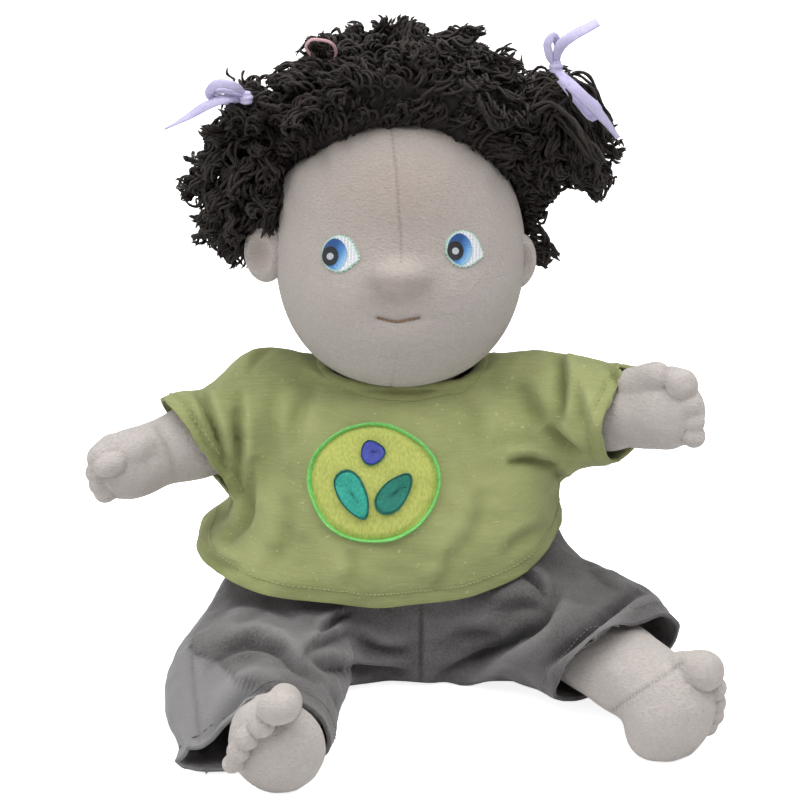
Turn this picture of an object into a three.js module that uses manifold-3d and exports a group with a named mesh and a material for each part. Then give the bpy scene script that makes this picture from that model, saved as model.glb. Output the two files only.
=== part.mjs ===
// A soft cloth doll, sitting: millimetres, X to its left, Y to its back, Z up, floor at Z = 0.
import * as THREE from 'three';
import { mergeVertices } from 'three/addons/utils/BufferGeometryUtils.js';
import Module from 'manifold-3d';

const wasm = await Module();
wasm.setup();

// Driving dimensions, in millimetres and degrees.
// The middle of the whole doll's outline lies at the origin, so all X and Y values here are
// moved by MIDDLE at the end.
const MIDDLE = [-1.59, -37.809];
const CLOTH = 2.0; // thickness of a layer of clothing with its lining and folds
const AIR = 0.3; // between two pieces that touch
const FINENESS = 0.22; // the surfaces keep to this

const HEAD_CENTRE = [0, 5, 178.5];
const HEAD_SIZE = [51.5, 49, 57]; // half width, half depth, half height
const HEAD_POWER = 2.3; // bluntness of the jaw
const HEAD_LEAN = 8; // the face looks up by this angle
const NECK_PIVOT = [0, 5, 144]; // inside the head, where the neck ends
const NECK_BALL = 15;
const NECK_RADIUS = 13;
const NECK_FOOT = 104;
const HEAD_ROOM = [3.6, 3.2]; // between the head and the trunk, sideways and under it

const TRUNK_TOP = 125;
const TOP_OF_HIPS = { left: 49.4, right: 41.2 }; // each leg turns under this height
const HEM_HEIGHT = { left: 59, right: 41.6 }; // of the shirt's lower edge at each side
const WAIST = 62; // upper edge of the trousers, under the shirt
const COLLAR_RADIUS = 29;
const COLLAR_BAND = 3.5;
const COLLAR_FOOT = 118.5;
const COLLAR_MIDDLE = 3;

const SHOULDER = [57, 2, 106];
const SHOULDER_BALL = 27; // outside of the sleeve's shoulder
const SOCKET = 0.6; // between that ball and its socket
const ARM_FORWARD = { left: 33, right: 24 }; // angle of each arm to the front
const ARM_LIFT = { left: 12, right: -13 }; // above and below level
const ARM_LOWERED = { left: [-24, -29, -34], right: [0, -5, -9] }; // paths cut for the sleeves
const CUFF_AT = { left: 47, right: 37 }; // from the shoulder's middle to the sleeve's edge
const CUFF_RADIUS = { left: 18.5, right: 20 };
const HAND_AT = 68;

const HIP = { left: [43, -10, 20], right: [-43, -22, 20] };
const HIP_DRUM = 29; // outside of the trouser leg's top
const LEG_OUT = { left: 38, right: 3 }; // angle of each leg to the side
const LEG_SWING = { left: [-35, 15], right: [0, 45] };
const SWING_ROOM = { left: 12, right: 21 }; // more angle for the bulge of the leg's cloth
const HEM_AT = { left: 82, right: 97 }; // from the hip's middle to the trouser leg's edge
const FOOT_AT = 113;
const FOOT_ROLL = { left: 44, right: 36 }; // the toes lean out by this angle

const EYE_AT = { left: [26.2, 9.8], right: [-29.4, 9.0] }; // degrees to the side and up
const EYE_SIZE = 8.2;
const EAR_AT = { left: [50.5, -3, 177], right: [-56.5, -3, 181] };

// Help with solids

function solidOf(geometry) {
  const bare = geometry.index ? geometry : geometry.clone();
  for (const name of ['normal', 'uv']) {
    bare.deleteAttribute(name);
  }
  const joined = mergeVertices(bare, 1e-3);
  const mesh = new wasm.Mesh({
    numProp: 3,
    vertProperties: new Float32Array(joined.attributes.position.array),
    triVerts: new Uint32Array(joined.index.array),
  });
  const solid = new wasm.Manifold(mesh);
  return solid.volume() < 0 ? turnedOut(mesh) : solid;
}

function turnedOut(mesh) {
  const order = mesh.triVerts.slice();
  for (let i = 0; i < order.length; i += 3) {
    order[i] = mesh.triVerts[i + 1];
    order[i + 1] = mesh.triVerts[i];
  }
  const turned = new wasm.Mesh({ numProp: 3, vertProperties: mesh.vertProperties, triVerts: order });
  return new wasm.Manifold(turned);
}

function geometryOf(solid) {
  const mesh = solid.getMesh();
  const geometry = new THREE.BufferGeometry();
  const corners = new Float32Array(mesh.vertProperties);
  geometry.setAttribute('position', new THREE.BufferAttribute(corners, 3));
  geometry.setIndex(new THREE.BufferAttribute(new Uint32Array(mesh.triVerts), 1));
  return geometry;
}

function largestOf(solid) {
  let best = solid;
  let most = -1;
  for (const piece of solid.decompose()) {
    if (piece.volume() > most) {
      most = piece.volume();
      best = piece;
    }
  }
  return best;
}

function joinedUp(solids) {
  return solids.reduce((a, b) => a.add(b));
}

function box(x0, x1, y0, y1, z0, z1) {
  const geometry = new THREE.BoxGeometry(x1 - x0, y1 - y0, z1 - z0);
  geometry.translate((x0 + x1) / 2, (y0 + y1) / 2, (z0 + z1) / 2);
  return solidOf(geometry);
}

function ball(centre, radius, detail = 4, scale = [1, 1, 1]) {
  const geometry = new THREE.IcosahedronGeometry(radius, detail);
  geometry.scale(...scale);
  geometry.translate(...centre);
  return solidOf(geometry);
}

function upright(centre, radius, z0, z1, sides = 36) {
  const geometry = new THREE.CylinderGeometry(radius, radius, z1 - z0, sides);
  geometry.rotateX(Math.PI / 2);
  geometry.translate(centre[0], centre[1], (z0 + z1) / 2);
  return solidOf(geometry);
}

// A closed skin over a row of rings, each a list of the same number of points.
function loft(rings) {
  const around = rings[0].length;
  const corners = [];
  const faces = [];
  for (const ring of rings) {
    for (const p of ring) {
      corners.push(p.x, p.y, p.z);
    }
  }
  for (let i = 0; i + 1 < rings.length; i += 1) {
    for (let j = 0; j < around; j += 1) {
      const next = (j + 1) % around;
      const a = i * around + j;
      const b = i * around + next;
      faces.push(a, b, b + around);
      faces.push(a, b + around, a + around);
    }
  }
  for (const last of [false, true]) {
    const ring = rings[last ? rings.length - 1 : 0];
    const middle = new THREE.Vector3();
    for (const p of ring) {
      middle.addScaledVector(p, 1 / around);
    }
    const hub = corners.length / 3;
    const start = last ? (rings.length - 1) * around : 0;
    corners.push(middle.x, middle.y, middle.z);
    for (let j = 0; j < around; j += 1) {
      const a = start + j;
      const b = start + ((j + 1) % around);
      faces.push(hub, last ? a : b, last ? b : a);
    }
  }
  const geometry = new THREE.BufferGeometry();
  geometry.setAttribute('position', new THREE.Float32BufferAttribute(corners, 3));
  geometry.setIndex(faces);
  return solidOf(geometry);
}

// The value at x of a smooth line through a table's rows [x, value, value...].
function along(table, x) {
  const last = table.length - 1;
  let i = 0;
  while (i < last - 1 && table[i + 1][0] < x) {
    i += 1;
  }
  const span = table[i + 1][0] - table[i][0];
  const t = Math.min(1, Math.max(0, (x - table[i][0]) / span));
  const before = table[Math.max(0, i - 1)];
  const after = table[Math.min(last, i + 2)];
  return table[i].slice(1).map((value, k) => {
    const here = value;
    const there = table[i + 1][k + 1];
    const inSlope = ((there - before[k + 1]) / (table[i + 1][0] - before[0])) * span;
    const outSlope = ((after[k + 1] - here) / (after[0] - table[i][0])) * span;
    const t2 = t * t;
    const t3 = t2 * t;
    return (
      here * (2 * t3 - 3 * t2 + 1) +
      inSlope * (t3 - 2 * t2 + t) +
      there * (3 * t2 - 2 * t3) +
      outSlope * (t3 - t2)
    );
  });
}

// One ring of a limb or a garment: an oval in the plane of side and up.
function oval(middle, side, up, wide, high, count, power = 2, wave = () => 0) {
  const points = [];
  for (let j = 0; j < count; j += 1) {
    const angle = (j / count) * 2 * Math.PI;
    const c = Math.cos(angle);
    const s = Math.sin(angle);
    const k = (Math.abs(c) ** power + Math.abs(s) ** power) ** (-1 / power);
    const extra = wave(angle);
    points.push(
      middle
        .clone()
        .addScaledVector(side, c * k * (wide + extra))
        .addScaledVector(up, s * k * (high + extra)),
    );
  }
  return points;
}

const X = new THREE.Vector3(1, 0, 0);
const Y = new THREE.Vector3(0, 1, 0);
const Z = new THREE.Vector3(0, 0, 1);
const sideSign = { left: 1, right: -1 };
const TRUNK_SIDES = 30;

// Trunk and clothes on it

// height, half width, half depth, middle in Y
const TRUNK = [
  [0, 55, 37, 1],
  [6, 62, 42, 0.5],
  [20, 66, 45, 0],
  [45, 66, 46, -1],
  [70, 61, 45, -1.5],
  [88, 57.5, 42, -1],
  [104, 55.5, 38, 0],
  [114, 53, 34.5, 1],
  [121, 46, 29, 2],
  [TRUNK_TOP, 34, 23, 3],
];

function trunkRing(z, grow, count, more = () => 0, shift = 0) {
  const [wide, deep, middle] = along(TRUNK, Math.min(z, TRUNK_TOP));
  return oval(new THREE.Vector3(shift, middle, z), X, Y, wide + grow, deep + grow, count, 2.3, more);
}

// How far a height is into the rounded top of the trunk, from 0 to 1.
function topShare(z) {
  return Math.max(0, (z - 98) / (TRUNK_TOP - 98));
}

function roundedTrunk(grow, z0, steps) {
  const rings = [];
  for (let i = 0; i <= steps; i += 1) {
    const z = z0 + (TRUNK_TOP - z0) * Math.sin(((i / steps) * Math.PI) / 2);
    const up = grow * topShare(z);
    rings.push(trunkRing(z, grow, TRUNK_SIDES).map((p) => p.setZ(p.z + up)));
  }
  return loft(rings);
}

function shoulderOf(name) {
  return [sideSign[name] * SHOULDER[0], SHOULDER[1], SHOULDER[2]];
}

function legWay(name, extra = 0) {
  const angle = THREE.MathUtils.degToRad(LEG_OUT[name] + extra);
  return new THREE.Vector3(sideSign[name] * Math.sin(angle), -Math.cos(angle), 0);
}

// The room in which a leg swings: a drum at the hip and a wedge in front of it.
function swingRoom(name) {
  const hip = HIP[name];
  const reach = HIP_DRUM + 0.4;
  const [low, high] = LEG_SWING[name];
  const inner = legWay(name, low - 2);
  const outer = legWay(name, high + SWING_ROOM[name]);
  const s = sideSign[name];
  const atInner = [hip[0] + s * inner.y * reach, hip[1] - s * inner.x * reach];
  const atOuter = [hip[0] - s * outer.y * reach, hip[1] + s * outer.x * reach];
  const far = 150;
  const shape = new THREE.Shape();
  shape.moveTo(...atInner);
  shape.lineTo(atInner[0] + inner.x * far, atInner[1] + inner.y * far);
  shape.lineTo(hip[0] + (inner.x + outer.x) * far, hip[1] + (inner.y + outer.y) * far);
  shape.lineTo(atOuter[0] + outer.x * far, atOuter[1] + outer.y * far);
  shape.lineTo(...atOuter);
  shape.closePath();
  const wedge = new THREE.ExtrudeGeometry(shape, { depth: TOP_OF_HIPS[name] + 3, bevelEnabled: false });
  wedge.translate(0, 0, -3);
  return solidOf(wedge).add(upright(hip, reach, -3, TOP_OF_HIPS[name]));
}

function socketBall(name, radius) {
  return ball(shoulderOf(name), radius, 3);
}

// The room in which the head turns and nods: the lower half of a blunt round body.
function headRoom() {
  const [wide, , high] = HEAD_SIZE;
  const points = [new THREE.Vector2(0, -high - HEAD_ROOM[1])];
  for (let i = 1; i <= 12; i += 1) {
    const angle = (i / 12) * (Math.PI / 2);
    const r = (wide + HEAD_ROOM[0]) * Math.sin(angle) ** (2 / HEAD_POWER);
    const z = -(high + HEAD_ROOM[1]) * Math.cos(angle) ** (2 / HEAD_POWER);
    points.push(new THREE.Vector2(r, z));
  }
  points.push(new THREE.Vector2(0, 0));
  const geometry = new THREE.LatheGeometry(points, 36);
  geometry.rotateX(Math.PI / 2);
  geometry.translate(...HEAD_CENTRE);
  return solidOf(geometry);
}

const rooms = swingRoom('left').add(swingRoom('right'));
const aboveFloor = box(-300, 300, -300, 300, 0, 400);

function makeTorso() {
  let torso = roundedTrunk(0, 0, 8);
  torso = torso.subtract(rooms);
  for (const name of ['left', 'right']) {
    torso = torso.subtract(socketBall(name, SHOULDER_BALL + SOCKET));
    torso = torso.subtract(armRoom(name));
  }
  torso = torso.subtract(upright(NECK_PIVOT, NECK_RADIUS + AIR, NECK_FOOT - AIR, 140, 24));
  torso = torso.subtract(headRoom());
  torso = torso.subtract(upright([0, COLLAR_MIDDLE], COLLAR_RADIUS + AIR, COLLAR_FOOT - AIR, 150, 32));
  torso = torso.subtract(box(-200, 200, -200, 200, -5, CLOTH + AIR));
  return largestOf(torso);
}

function makeTrousersSeat() {
  const rings = [];
  for (let i = 0; i <= 5; i += 1) {
    const z = (WAIST * i) / 5;
    rings.push(trunkRing(z, AIR + CLOTH, TRUNK_SIDES));
  }
  let cloth = loft(rings);
  const inside = [];
  for (let i = 0; i <= 5; i += 1) {
    const z = CLOTH + ((WAIST + 1 - CLOTH) * i) / 5;
    inside.push(trunkRing(z, AIR, TRUNK_SIDES));
  }
  cloth = cloth.subtract(loft(inside));
  cloth = cloth.subtract(rooms);
  const band = loft([trunkRing(WAIST - 7, AIR + 1.1, TRUNK_SIDES), trunkRing(WAIST - 2, AIR + 1.1, TRUNK_SIDES)]);
  cloth = cloth.subtract(band);
  return largestOf(cloth);
}

function makeWaistElastic() {
  const outer = loft([trunkRing(WAIST - 6.7, AIR + 0.8, TRUNK_SIDES), trunkRing(WAIST - 2.3, AIR + 0.8, TRUNK_SIDES)]);
  const inner = loft([trunkRing(WAIST - 8, 0.2, TRUNK_SIDES), trunkRing(WAIST - 1, 0.2, TRUNK_SIDES)]);
  return outer.subtract(inner);
}

// The shirt hangs from the shoulders, and its hem lies on the hips in soft waves.
const HEM_LOW = Math.min(HEM_HEIGHT.left, HEM_HEIGHT.right);

function shirtWave(z) {
  const low = Math.max(0, 1 - (z - HEM_LOW) / 45);
  return (angle) => {
    const fold = Math.sin(7 * angle + 0.6) + 0.6 * Math.sin(11 * angle + 2.0);
    return low * (3.2 + 1.3 * fold + 10 * Math.max(0, -Math.cos(angle)));
  };
}

function shirtRing(z, grow) {
  const apart = 2 * (AIR + CLOTH) * (z < 75 ? 1 : Math.max(0.5, 1 - (z - 75) / 50));
  return trunkRing(z, apart + grow, TRUNK_SIDES, shirtWave(z));
}

// Everything above the hem, which runs up from the right side to the left.
function aboveHem() {
  const shape = new THREE.Shape();
  shape.moveTo(-200, HEM_HEIGHT.right);
  shape.lineTo(-50, HEM_HEIGHT.right);
  shape.quadraticCurveTo(0, HEM_HEIGHT.right + 1, 16, TOP_OF_HIPS.left + 0.6);
  shape.quadraticCurveTo(56, TOP_OF_HIPS.left + 1, 80, HEM_HEIGHT.left);
  shape.lineTo(200, HEM_HEIGHT.left);
  shape.lineTo(200, 200);
  shape.lineTo(-200, 200);
  shape.closePath();
  const geometry = new THREE.ExtrudeGeometry(shape, { depth: 300, bevelEnabled: false, curveSegments: 3 });
  geometry.rotateX(Math.PI / 2);
  geometry.translate(0, 150, 0);
  return solidOf(geometry);
}

function shirtSkin(grow) {
  const rings = [];
  const steps = 9;
  for (let i = 0; i <= steps; i += 1) {
    const z = HEM_LOW + (TRUNK_TOP - HEM_LOW) * Math.sin(((i / steps) * Math.PI) / 2);
    const up = (CLOTH + AIR + grow) * topShare(z);
    rings.push(shirtRing(z, grow).map((p) => p.setZ(p.z + up)));
  }
  return loft(rings);
}

function makeShirt() {
  let shirt = shirtSkin(0);
  shirt = shirt.intersect(aboveHem());
  shirt = shirt.subtract(roundedTrunk(AIR, 0, 8));
  const low = [];
  for (let i = 0; i <= 4; i += 1) {
    const z = HEM_LOW - 1 + ((WAIST + 10 - HEM_LOW) * i) / 4;
    low.push(shirtRing(z, -CLOTH));
  }
  low.push(trunkRing(WAIST + 16, AIR * 0.9, TRUNK_SIDES));
  shirt = shirt.subtract(loft(low));
  for (const name of ['left', 'right']) {
    shirt = shirt.subtract(socketBall(name, SHOULDER_BALL + SOCKET));
    shirt = shirt.subtract(armRoom(name));
  }
  shirt = shirt.subtract(upright([0, COLLAR_MIDDLE], COLLAR_RADIUS + AIR, 90, 150, 32));
  shirt = shirt.subtract(headRoom());
  return largestOf(shirt);
}

function makeNeckBand() {
  const middle = [0, COLLAR_MIDDLE];
  let band = upright(middle, COLLAR_RADIUS, COLLAR_FOOT, TRUNK_TOP + CLOTH, 32);
  band = band.subtract(upright(middle, COLLAR_RADIUS - COLLAR_BAND, 80, 160, 32));
  return largestOf(band.subtract(headRoom()));
}

// Head

function headRadius(way) {
  const [x, y, z] = way.clone().divide(new THREE.Vector3(...HEAD_SIZE)).toArray();
  const power = z < 0 ? HEAD_POWER : 2;
  let radius = (Math.hypot(x, y) ** power + Math.abs(z) ** power) ** (-1 / power);
  const bump = (bx, by, bz, size, wide) => {
    const centre = new THREE.Vector3(bx, by, bz).normalize();
    const away = centre.angleTo(way);
    return size * Math.exp(-((away / THREE.MathUtils.degToRad(wide)) ** 2));
  };
  radius += bump(0, -1, 0.0, 5.5, 13);
  radius += bump(0.24, -1, -0.03, 1.8, 12) + bump(-0.24, -1, -0.03, 1.8, 12);
  radius += bump(0.62, -1, -0.42, 3.0, 27) + bump(-0.62, -1, -0.42, 3.0, 27);
  radius += bump(0, -0.8, -0.95, 2.0, 26);
  radius -= bump(0.42, -1, 0.2, 1.6, 15) + bump(-0.42, -1, 0.2, 1.6, 15);
  return radius;
}

function headSolid(grow, detail = 5) {
  const geometry = new THREE.IcosahedronGeometry(1, detail);
  const place = geometry.attributes.position;
  const way = new THREE.Vector3();
  for (let i = 0; i < place.count; i += 1) {
    way.fromBufferAttribute(place, i).normalize();
    way.multiplyScalar(headRadius(way) + grow);
    place.setXYZ(i, way.x, way.y, way.z);
  }
  geometry.rotateX(THREE.MathUtils.degToRad(-HEAD_LEAN));
  geometry.translate(...HEAD_CENTRE);
  return solidOf(geometry);
}

function headWay(toSide, up) {
  const a = THREE.MathUtils.degToRad(toSide);
  const b = THREE.MathUtils.degToRad(up);
  return new THREE.Vector3(Math.sin(a) * Math.cos(b), -Math.cos(a) * Math.cos(b), Math.sin(b));
}

// A flat outline cut through the head along one way out of its middle.
function punch(shape, toSide, up) {
  const geometry = new THREE.ExtrudeGeometry(shape, { depth: 45, bevelEnabled: false, curveSegments: 5 });
  const way = headWay(toSide, up);
  const side = new THREE.Vector3().crossVectors(Z, way).normalize().negate();
  const top = new THREE.Vector3().crossVectors(side, way).normalize();
  if (top.z < 0) {
    top.negate();
  }
  side.crossVectors(top, way).normalize();
  const basis = new THREE.Matrix4().makeBasis(side, top, way);
  geometry.applyMatrix4(basis);
  geometry.translate(way.x * 28, way.y * 28, way.z * 28);
  geometry.translate(...HEAD_CENTRE);
  return solidOf(geometry);
}

function circle(x, y, radius) {
  const shape = new THREE.Shape();
  shape.absarc(x, y, radius, 0, 2 * Math.PI, false);
  return shape;
}

// The eye's outline: round, with a pointed corner on the doll's left side.
function eyeShape(size, corner) {
  const shape = new THREE.Shape();
  const start = THREE.MathUtils.degToRad(42);
  shape.moveTo(corner, -0.08 * size);
  shape.quadraticCurveTo(size * 0.98, size * 0.42, Math.cos(start) * size, Math.sin(start) * size);
  shape.absarc(0, 0, size, start, 2 * Math.PI - start - 0.1, false);
  shape.quadraticCurveTo(size * 0.95, -size * 0.5, corner, -0.08 * size);
  return shape;
}

function ridge(path, radius, steps) {
  const profile = circle(0, 0, radius);
  const geometry = new THREE.ExtrudeGeometry(profile, {
    steps,
    bevelEnabled: false,
    extrudePath: path,
    curveSegments: 3,
  });
  return solidOf(geometry);
}

// Hair: one lumpy closed mass for the curls, and one on each side for the bunches.
function curls(way, seed, depth) {
  const p = way.clone().multiplyScalar(3.1);
  const a = Math.sin(2.3 * p.x + seed) * Math.sin(2.1 * p.y + 2 * seed) * Math.sin(2.5 * p.z + 3 * seed);
  const b = Math.sin(5.1 * p.x + 1.7 * seed) * Math.sin(4.7 * p.y + seed) * Math.sin(5.3 * p.z);
  return depth * (a + 0.6 * b);
}

function lumpy(centre, size, seed, depth, grow, detail, tilt = 0) {
  const geometry = new THREE.IcosahedronGeometry(1, detail);
  const place = geometry.attributes.position;
  const way = new THREE.Vector3();
  const scale = new THREE.Vector3(...size);
  for (let i = 0; i < place.count; i += 1) {
    way.fromBufferAttribute(place, i).normalize();
    const r = 1 / way.clone().divide(scale).length();
    way.multiplyScalar(r + curls(way, seed, depth) + grow);
    place.setXYZ(i, way.x, way.y, way.z);
  }
  geometry.rotateY(THREE.MathUtils.degToRad(tilt));
  geometry.translate(...centre);
  return solidOf(geometry);
}

// Behind this curved sheet is hair, and in front of it is the face.
function hairSide(forward) {
  const shape = new THREE.Shape();
  shape.moveTo(-120, 200);
  shape.lineTo(-120, 18 - forward);
  shape.lineTo(-62, 5 - forward);
  shape.quadraticCurveTo(-50, -8 - forward, -30, -11 - forward);
  shape.lineTo(30, -11 - forward);
  shape.quadraticCurveTo(50, -8 - forward, 62, 5 - forward);
  shape.lineTo(120, 18 - forward);
  shape.lineTo(120, 200);
  shape.closePath();
  const geometry = new THREE.ExtrudeGeometry(shape, { depth: 300, bevelEnabled: false, curveSegments: 6 });
  geometry.translate(0, 10.5, -180);
  geometry.rotateX(THREE.MathUtils.degToRad(9));
  geometry.translate(0, 0, 180);
  return solidOf(geometry);
}

const HAIR_MIDDLE = [1, 16, 204];
const HAIR_SIZE = [67, 54, 66];
const BUNCHES = {
  left: { centre: [64, 14, 223], size: [22.5, 21, 33], tilt: -32, tie: [57.5, 16, 238] },
  right: { centre: [-64, 12, 212], size: [21.5, 21, 37], tilt: 6, tie: [-60.5, 16, 228] },
};

function earSolid(name, grow) {
  const geometry = new THREE.SphereGeometry(1, 12, 9);
  geometry.scale(8.5 + grow, 4.2 + grow, 12 + grow);
  geometry.rotateZ(THREE.MathUtils.degToRad(sideSign[name] * 18));
  geometry.translate(...EAR_AT[name]);
  return solidOf(geometry);
}

function makeHairCap() {
  let hair = lumpy(HAIR_MIDDLE, HAIR_SIZE, 1.3, 2.6, 0, 5);
  hair = hair.intersect(hairSide(0));
  hair = hair.subtract(headSolid(AIR));
  for (const name of ['left', 'right']) {
    hair = hair.subtract(earSolid(name, AIR));
    hair = hair.subtract(tieSolid(name, AIR));
  }
  hair = hair.intersect(box(-200, 200, -200, 200, 148, 400));
  return largestOf(hair);
}

function tieSolid(name, grow) {
  const { tie } = BUNCHES[name];
  const geometry = new THREE.TorusGeometry(11, 2 + grow, 6, 16);
  geometry.rotateY(Math.PI / 2);
  geometry.rotateY(THREE.MathUtils.degToRad(-sideSign[name] * 25));
  geometry.translate(...tie);
  return solidOf(geometry);
}

function makeBunch(name) {
  const { centre, size, tilt } = BUNCHES[name];
  let hair = lumpy(centre, size, name === 'left' ? 2.1 : 4.2, 2.4, 0, 4, tilt);
  hair = hair.subtract(lumpy(HAIR_MIDDLE, HAIR_SIZE, 1.3, 2.6, AIR, 5));
  hair = hair.subtract(headSolid(AIR));
  hair = hair.subtract(earSolid(name, AIR));
  hair = hair.subtract(tieSolid(name, AIR + 0.2));
  return largestOf(hair);
}

// Arms

function armFrame(name) {
  const lift = THREE.MathUtils.degToRad(ARM_LIFT[name]);
  const forward = THREE.MathUtils.degToRad(ARM_FORWARD[name]);
  const s = sideSign[name];
  const way = new THREE.Vector3(
    s * Math.cos(lift) * Math.cos(forward),
    -Math.cos(lift) * Math.sin(forward),
    Math.sin(lift),
  );
  const side = new THREE.Vector3().crossVectors(Z, way).normalize();
  const up = new THREE.Vector3().crossVectors(way, side).normalize();
  return { origin: new THREE.Vector3(...shoulderOf(name)), way, side, up };
}

function place(frame, t, side = 0, up = 0) {
  return frame.origin
    .clone()
    .addScaledVector(frame.way, t)
    .addScaledVector(frame.side, side)
    .addScaledVector(frame.up, up);
}

function capsule(from, to, radius, detail = [2, 6]) {
  const length = from.distanceTo(to);
  const geometry = new THREE.CapsuleGeometry(radius, length, ...detail);
  const turn = new THREE.Quaternion().setFromUnitVectors(Y, to.clone().sub(from).normalize());
  geometry.applyQuaternion(turn);
  const middle = from.clone().add(to).multiplyScalar(0.5);
  geometry.translate(middle.x, middle.y, middle.z);
  return solidOf(geometry);
}

function blobAt(frame, t, side, up, size, detail = 3) {
  const geometry = new THREE.IcosahedronGeometry(1, detail);
  geometry.scale(...size);
  const basis = new THREE.Matrix4().makeBasis(frame.way, frame.side, frame.up);
  geometry.applyMatrix4(basis);
  const at = place(frame, t, side, up);
  geometry.translate(at.x, at.y, at.z);
  return solidOf(geometry);
}

// distance from the shoulder, half width, half height
const ARM = [
  [8, 21, 21],
  [20, 17, 17],
  [32, 13.6, 13.6],
  [44, 12, 12],
  [52, 10.6, 10.6],
  [58, 11.5, 11.5],
];

function makeArm(name) {
  const frame = armFrame(name);
  const rings = [];
  for (let i = 0; i <= 6; i += 1) {
    const t = 8 + (50 * i) / 6;
    const [wide, high] = along(ARM, t);
    rings.push(oval(place(frame, t), frame.side, frame.up, wide, high, 18));
  }
  const inner = ball(shoulderOf(name), SHOULDER_BALL - CLOTH - AIR, 2);
  let arm = loft(rings).add(inner);
  arm = arm.add(blobAt(frame, HAND_AT, 0, 0, [15, 11, 14.5]));
  const front = -sideSign[name];
  for (let i = 0; i < 4; i += 1) {
    const up = -9.3 + 6.2 * i;
    const reach = HAND_AT + 8.5 - 0.08 * (i - 1.7) ** 2 * 6;
    const curl = front * -4.5;
    arm = arm.add(capsule(place(frame, reach, -curl * 0.3, up), place(frame, reach - 2, curl * 1.5, up), 4.3));
  }
  const thumbRoot = place(frame, HAND_AT - 6, front * -6, 8);
  const thumbTip = place(frame, HAND_AT + 3, front * -9.5, name === 'left' ? 13 : 4);
  arm = arm.add(capsule(thumbRoot, thumbTip, 4.4));
  return largestOf(arm);
}

function sleeveTube(name, grow, t0, t1) {
  const frame = armFrame(name);
  const rings = [];
  for (let i = 0; i <= 3; i += 1) {
    const t = t0 + ((t1 - t0) * i) / 3;
    const share = t / CUFF_AT[name];
    const wide = 25.5 + (CUFF_RADIUS[name] - 25.5) * share + grow;
    const wave = (angle) => 0.9 * share * Math.sin(5 * angle + 1);
    rings.push(oval(place(frame, t), frame.side, frame.up, wide, wide, 24, 2, wave));
  }
  return loft(rings);
}

function turnedAbout(solid, centre, degrees) {
  const back = solid.translate(centre.map((v) => -v));
  return back.rotate([0, degrees, 0]).translate(centre);
}

// Where the sleeve's underside goes when the arm is lowered.
function armRoom(name) {
  const tube = sleeveTube(name, 0.7, 2, CUFF_AT[name]);
  const turned = ARM_LOWERED[name].map((angle) => turnedAbout(tube, shoulderOf(name), -sideSign[name] * angle));
  return joinedUp(turned);
}

function makeSleeve(name) {
  let sleeve = sleeveTube(name, 0, 2, CUFF_AT[name]).add(ball(shoulderOf(name), SHOULDER_BALL, 3));
  sleeve = sleeve.subtract(ball(shoulderOf(name), SHOULDER_BALL - CLOTH, 2));
  sleeve = sleeve.subtract(sleeveTube(name, -CLOTH, 2, CUFF_AT[name] + 4));
  return largestOf(sleeve);
}

// Legs

function legFrame(name) {
  const way = legWay(name);
  const side = new THREE.Vector3().crossVectors(way, Z).normalize();
  return { origin: new THREE.Vector3(...HIP[name]), way, side, up: Z.clone() };
}

function outwardOf(name) {
  const { side } = legFrame(name);
  return side.x * sideSign[name] > 0 ? side : side.negate();
}

// distance from the hip, half width, half height, height of the middle against the hip's
const LEG = {
  left: [
    [0, 22, 17.2, 2],
    [30, 20, 17.2, 5],
    [60, 17.5, 16.5, 6.5],
    [90, 15.5, 14.5, 1],
    [107, 14, 14, -1.5],
  ],
  right: [
    [0, 22, 17.2, 0],
    [30, 20, 17.2, 0],
    [60, 17.5, 16.5, -0.7],
    [90, 15.5, 14.5, -2.2],
    [107, 14, 14, -1.5],
  ],
};

function makeLeg(name) {
  const frame = legFrame(name);
  const rings = [];
  for (let i = 0; i <= 7; i += 1) {
    const t = (107 * i) / 7;
    const [wide, high, drop] = along(LEG[name], t);
    rings.push(oval(place(frame, t, 0, drop), frame.side, frame.up, wide, high, 20));
  }
  const hip = HIP[name];
  const low = CLOTH + AIR;
  const top = TOP_OF_HIPS[name] - 0.6 - CLOTH - AIR;
  let leg = loft(rings).add(upright(hip, HIP_DRUM - CLOTH - AIR, low, top, 28));
  const roll = THREE.MathUtils.degToRad(FOOT_ROLL[name]);
  const outward = outwardOf(name);
  const toeWay = Z.clone().multiplyScalar(Math.cos(roll)).addScaledVector(outward, Math.sin(roll));
  const across = outward.clone().multiplyScalar(Math.cos(roll)).addScaledVector(Z, -Math.sin(roll));
  const foot = { origin: frame.origin.clone(), way: frame.way, side: across, up: toeWay };
  leg = leg.add(blobAt(foot, FOOT_AT - 2, 0, -3.5, [12.5, 16.5, 16], 3));
  leg = leg.add(blobAt(foot, FOOT_AT, 0, 5, [9, 17, 12], 2));
  const toes = [
    [-9, 15.5, 7],
    [-0.5, 15.5, 5],
    [6, 13, 4.6],
    [11, 9, 4.4],
    [14.5, 3.5, 4],
  ];
  for (const [side, up, radius] of toes) {
    leg = leg.add(capsule(place(foot, FOOT_AT - 2, side, up - 5), place(foot, FOOT_AT + 1, side, up), radius));
  }
  return largestOf(leg.intersect(aboveFloor));
}

// distance from the hip, half width, half height, middle's height, shift to the outside
const TROUSER = {
  left: [
    [0, 29, 24.4, 4.2, 0],
    [30, 32, 24.4, 4.2, 3],
    [55, 34, 22.5, 6.3, 5],
    [HEM_AT.left, 31, 20.5, 4, 2],
  ],
  right: [
    [0, 29, 20.7, 0, 1],
    [30, 32, 20.7, 0, 7],
    [60, 33.5, 19.8, -0.8, 11],
    [HEM_AT.right, 31, 18, -2.4, 11],
  ],
};
const HEM_SLANT = { left: 24, right: 4 }; // how much shorter the underside of the leg's cloth is

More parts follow.
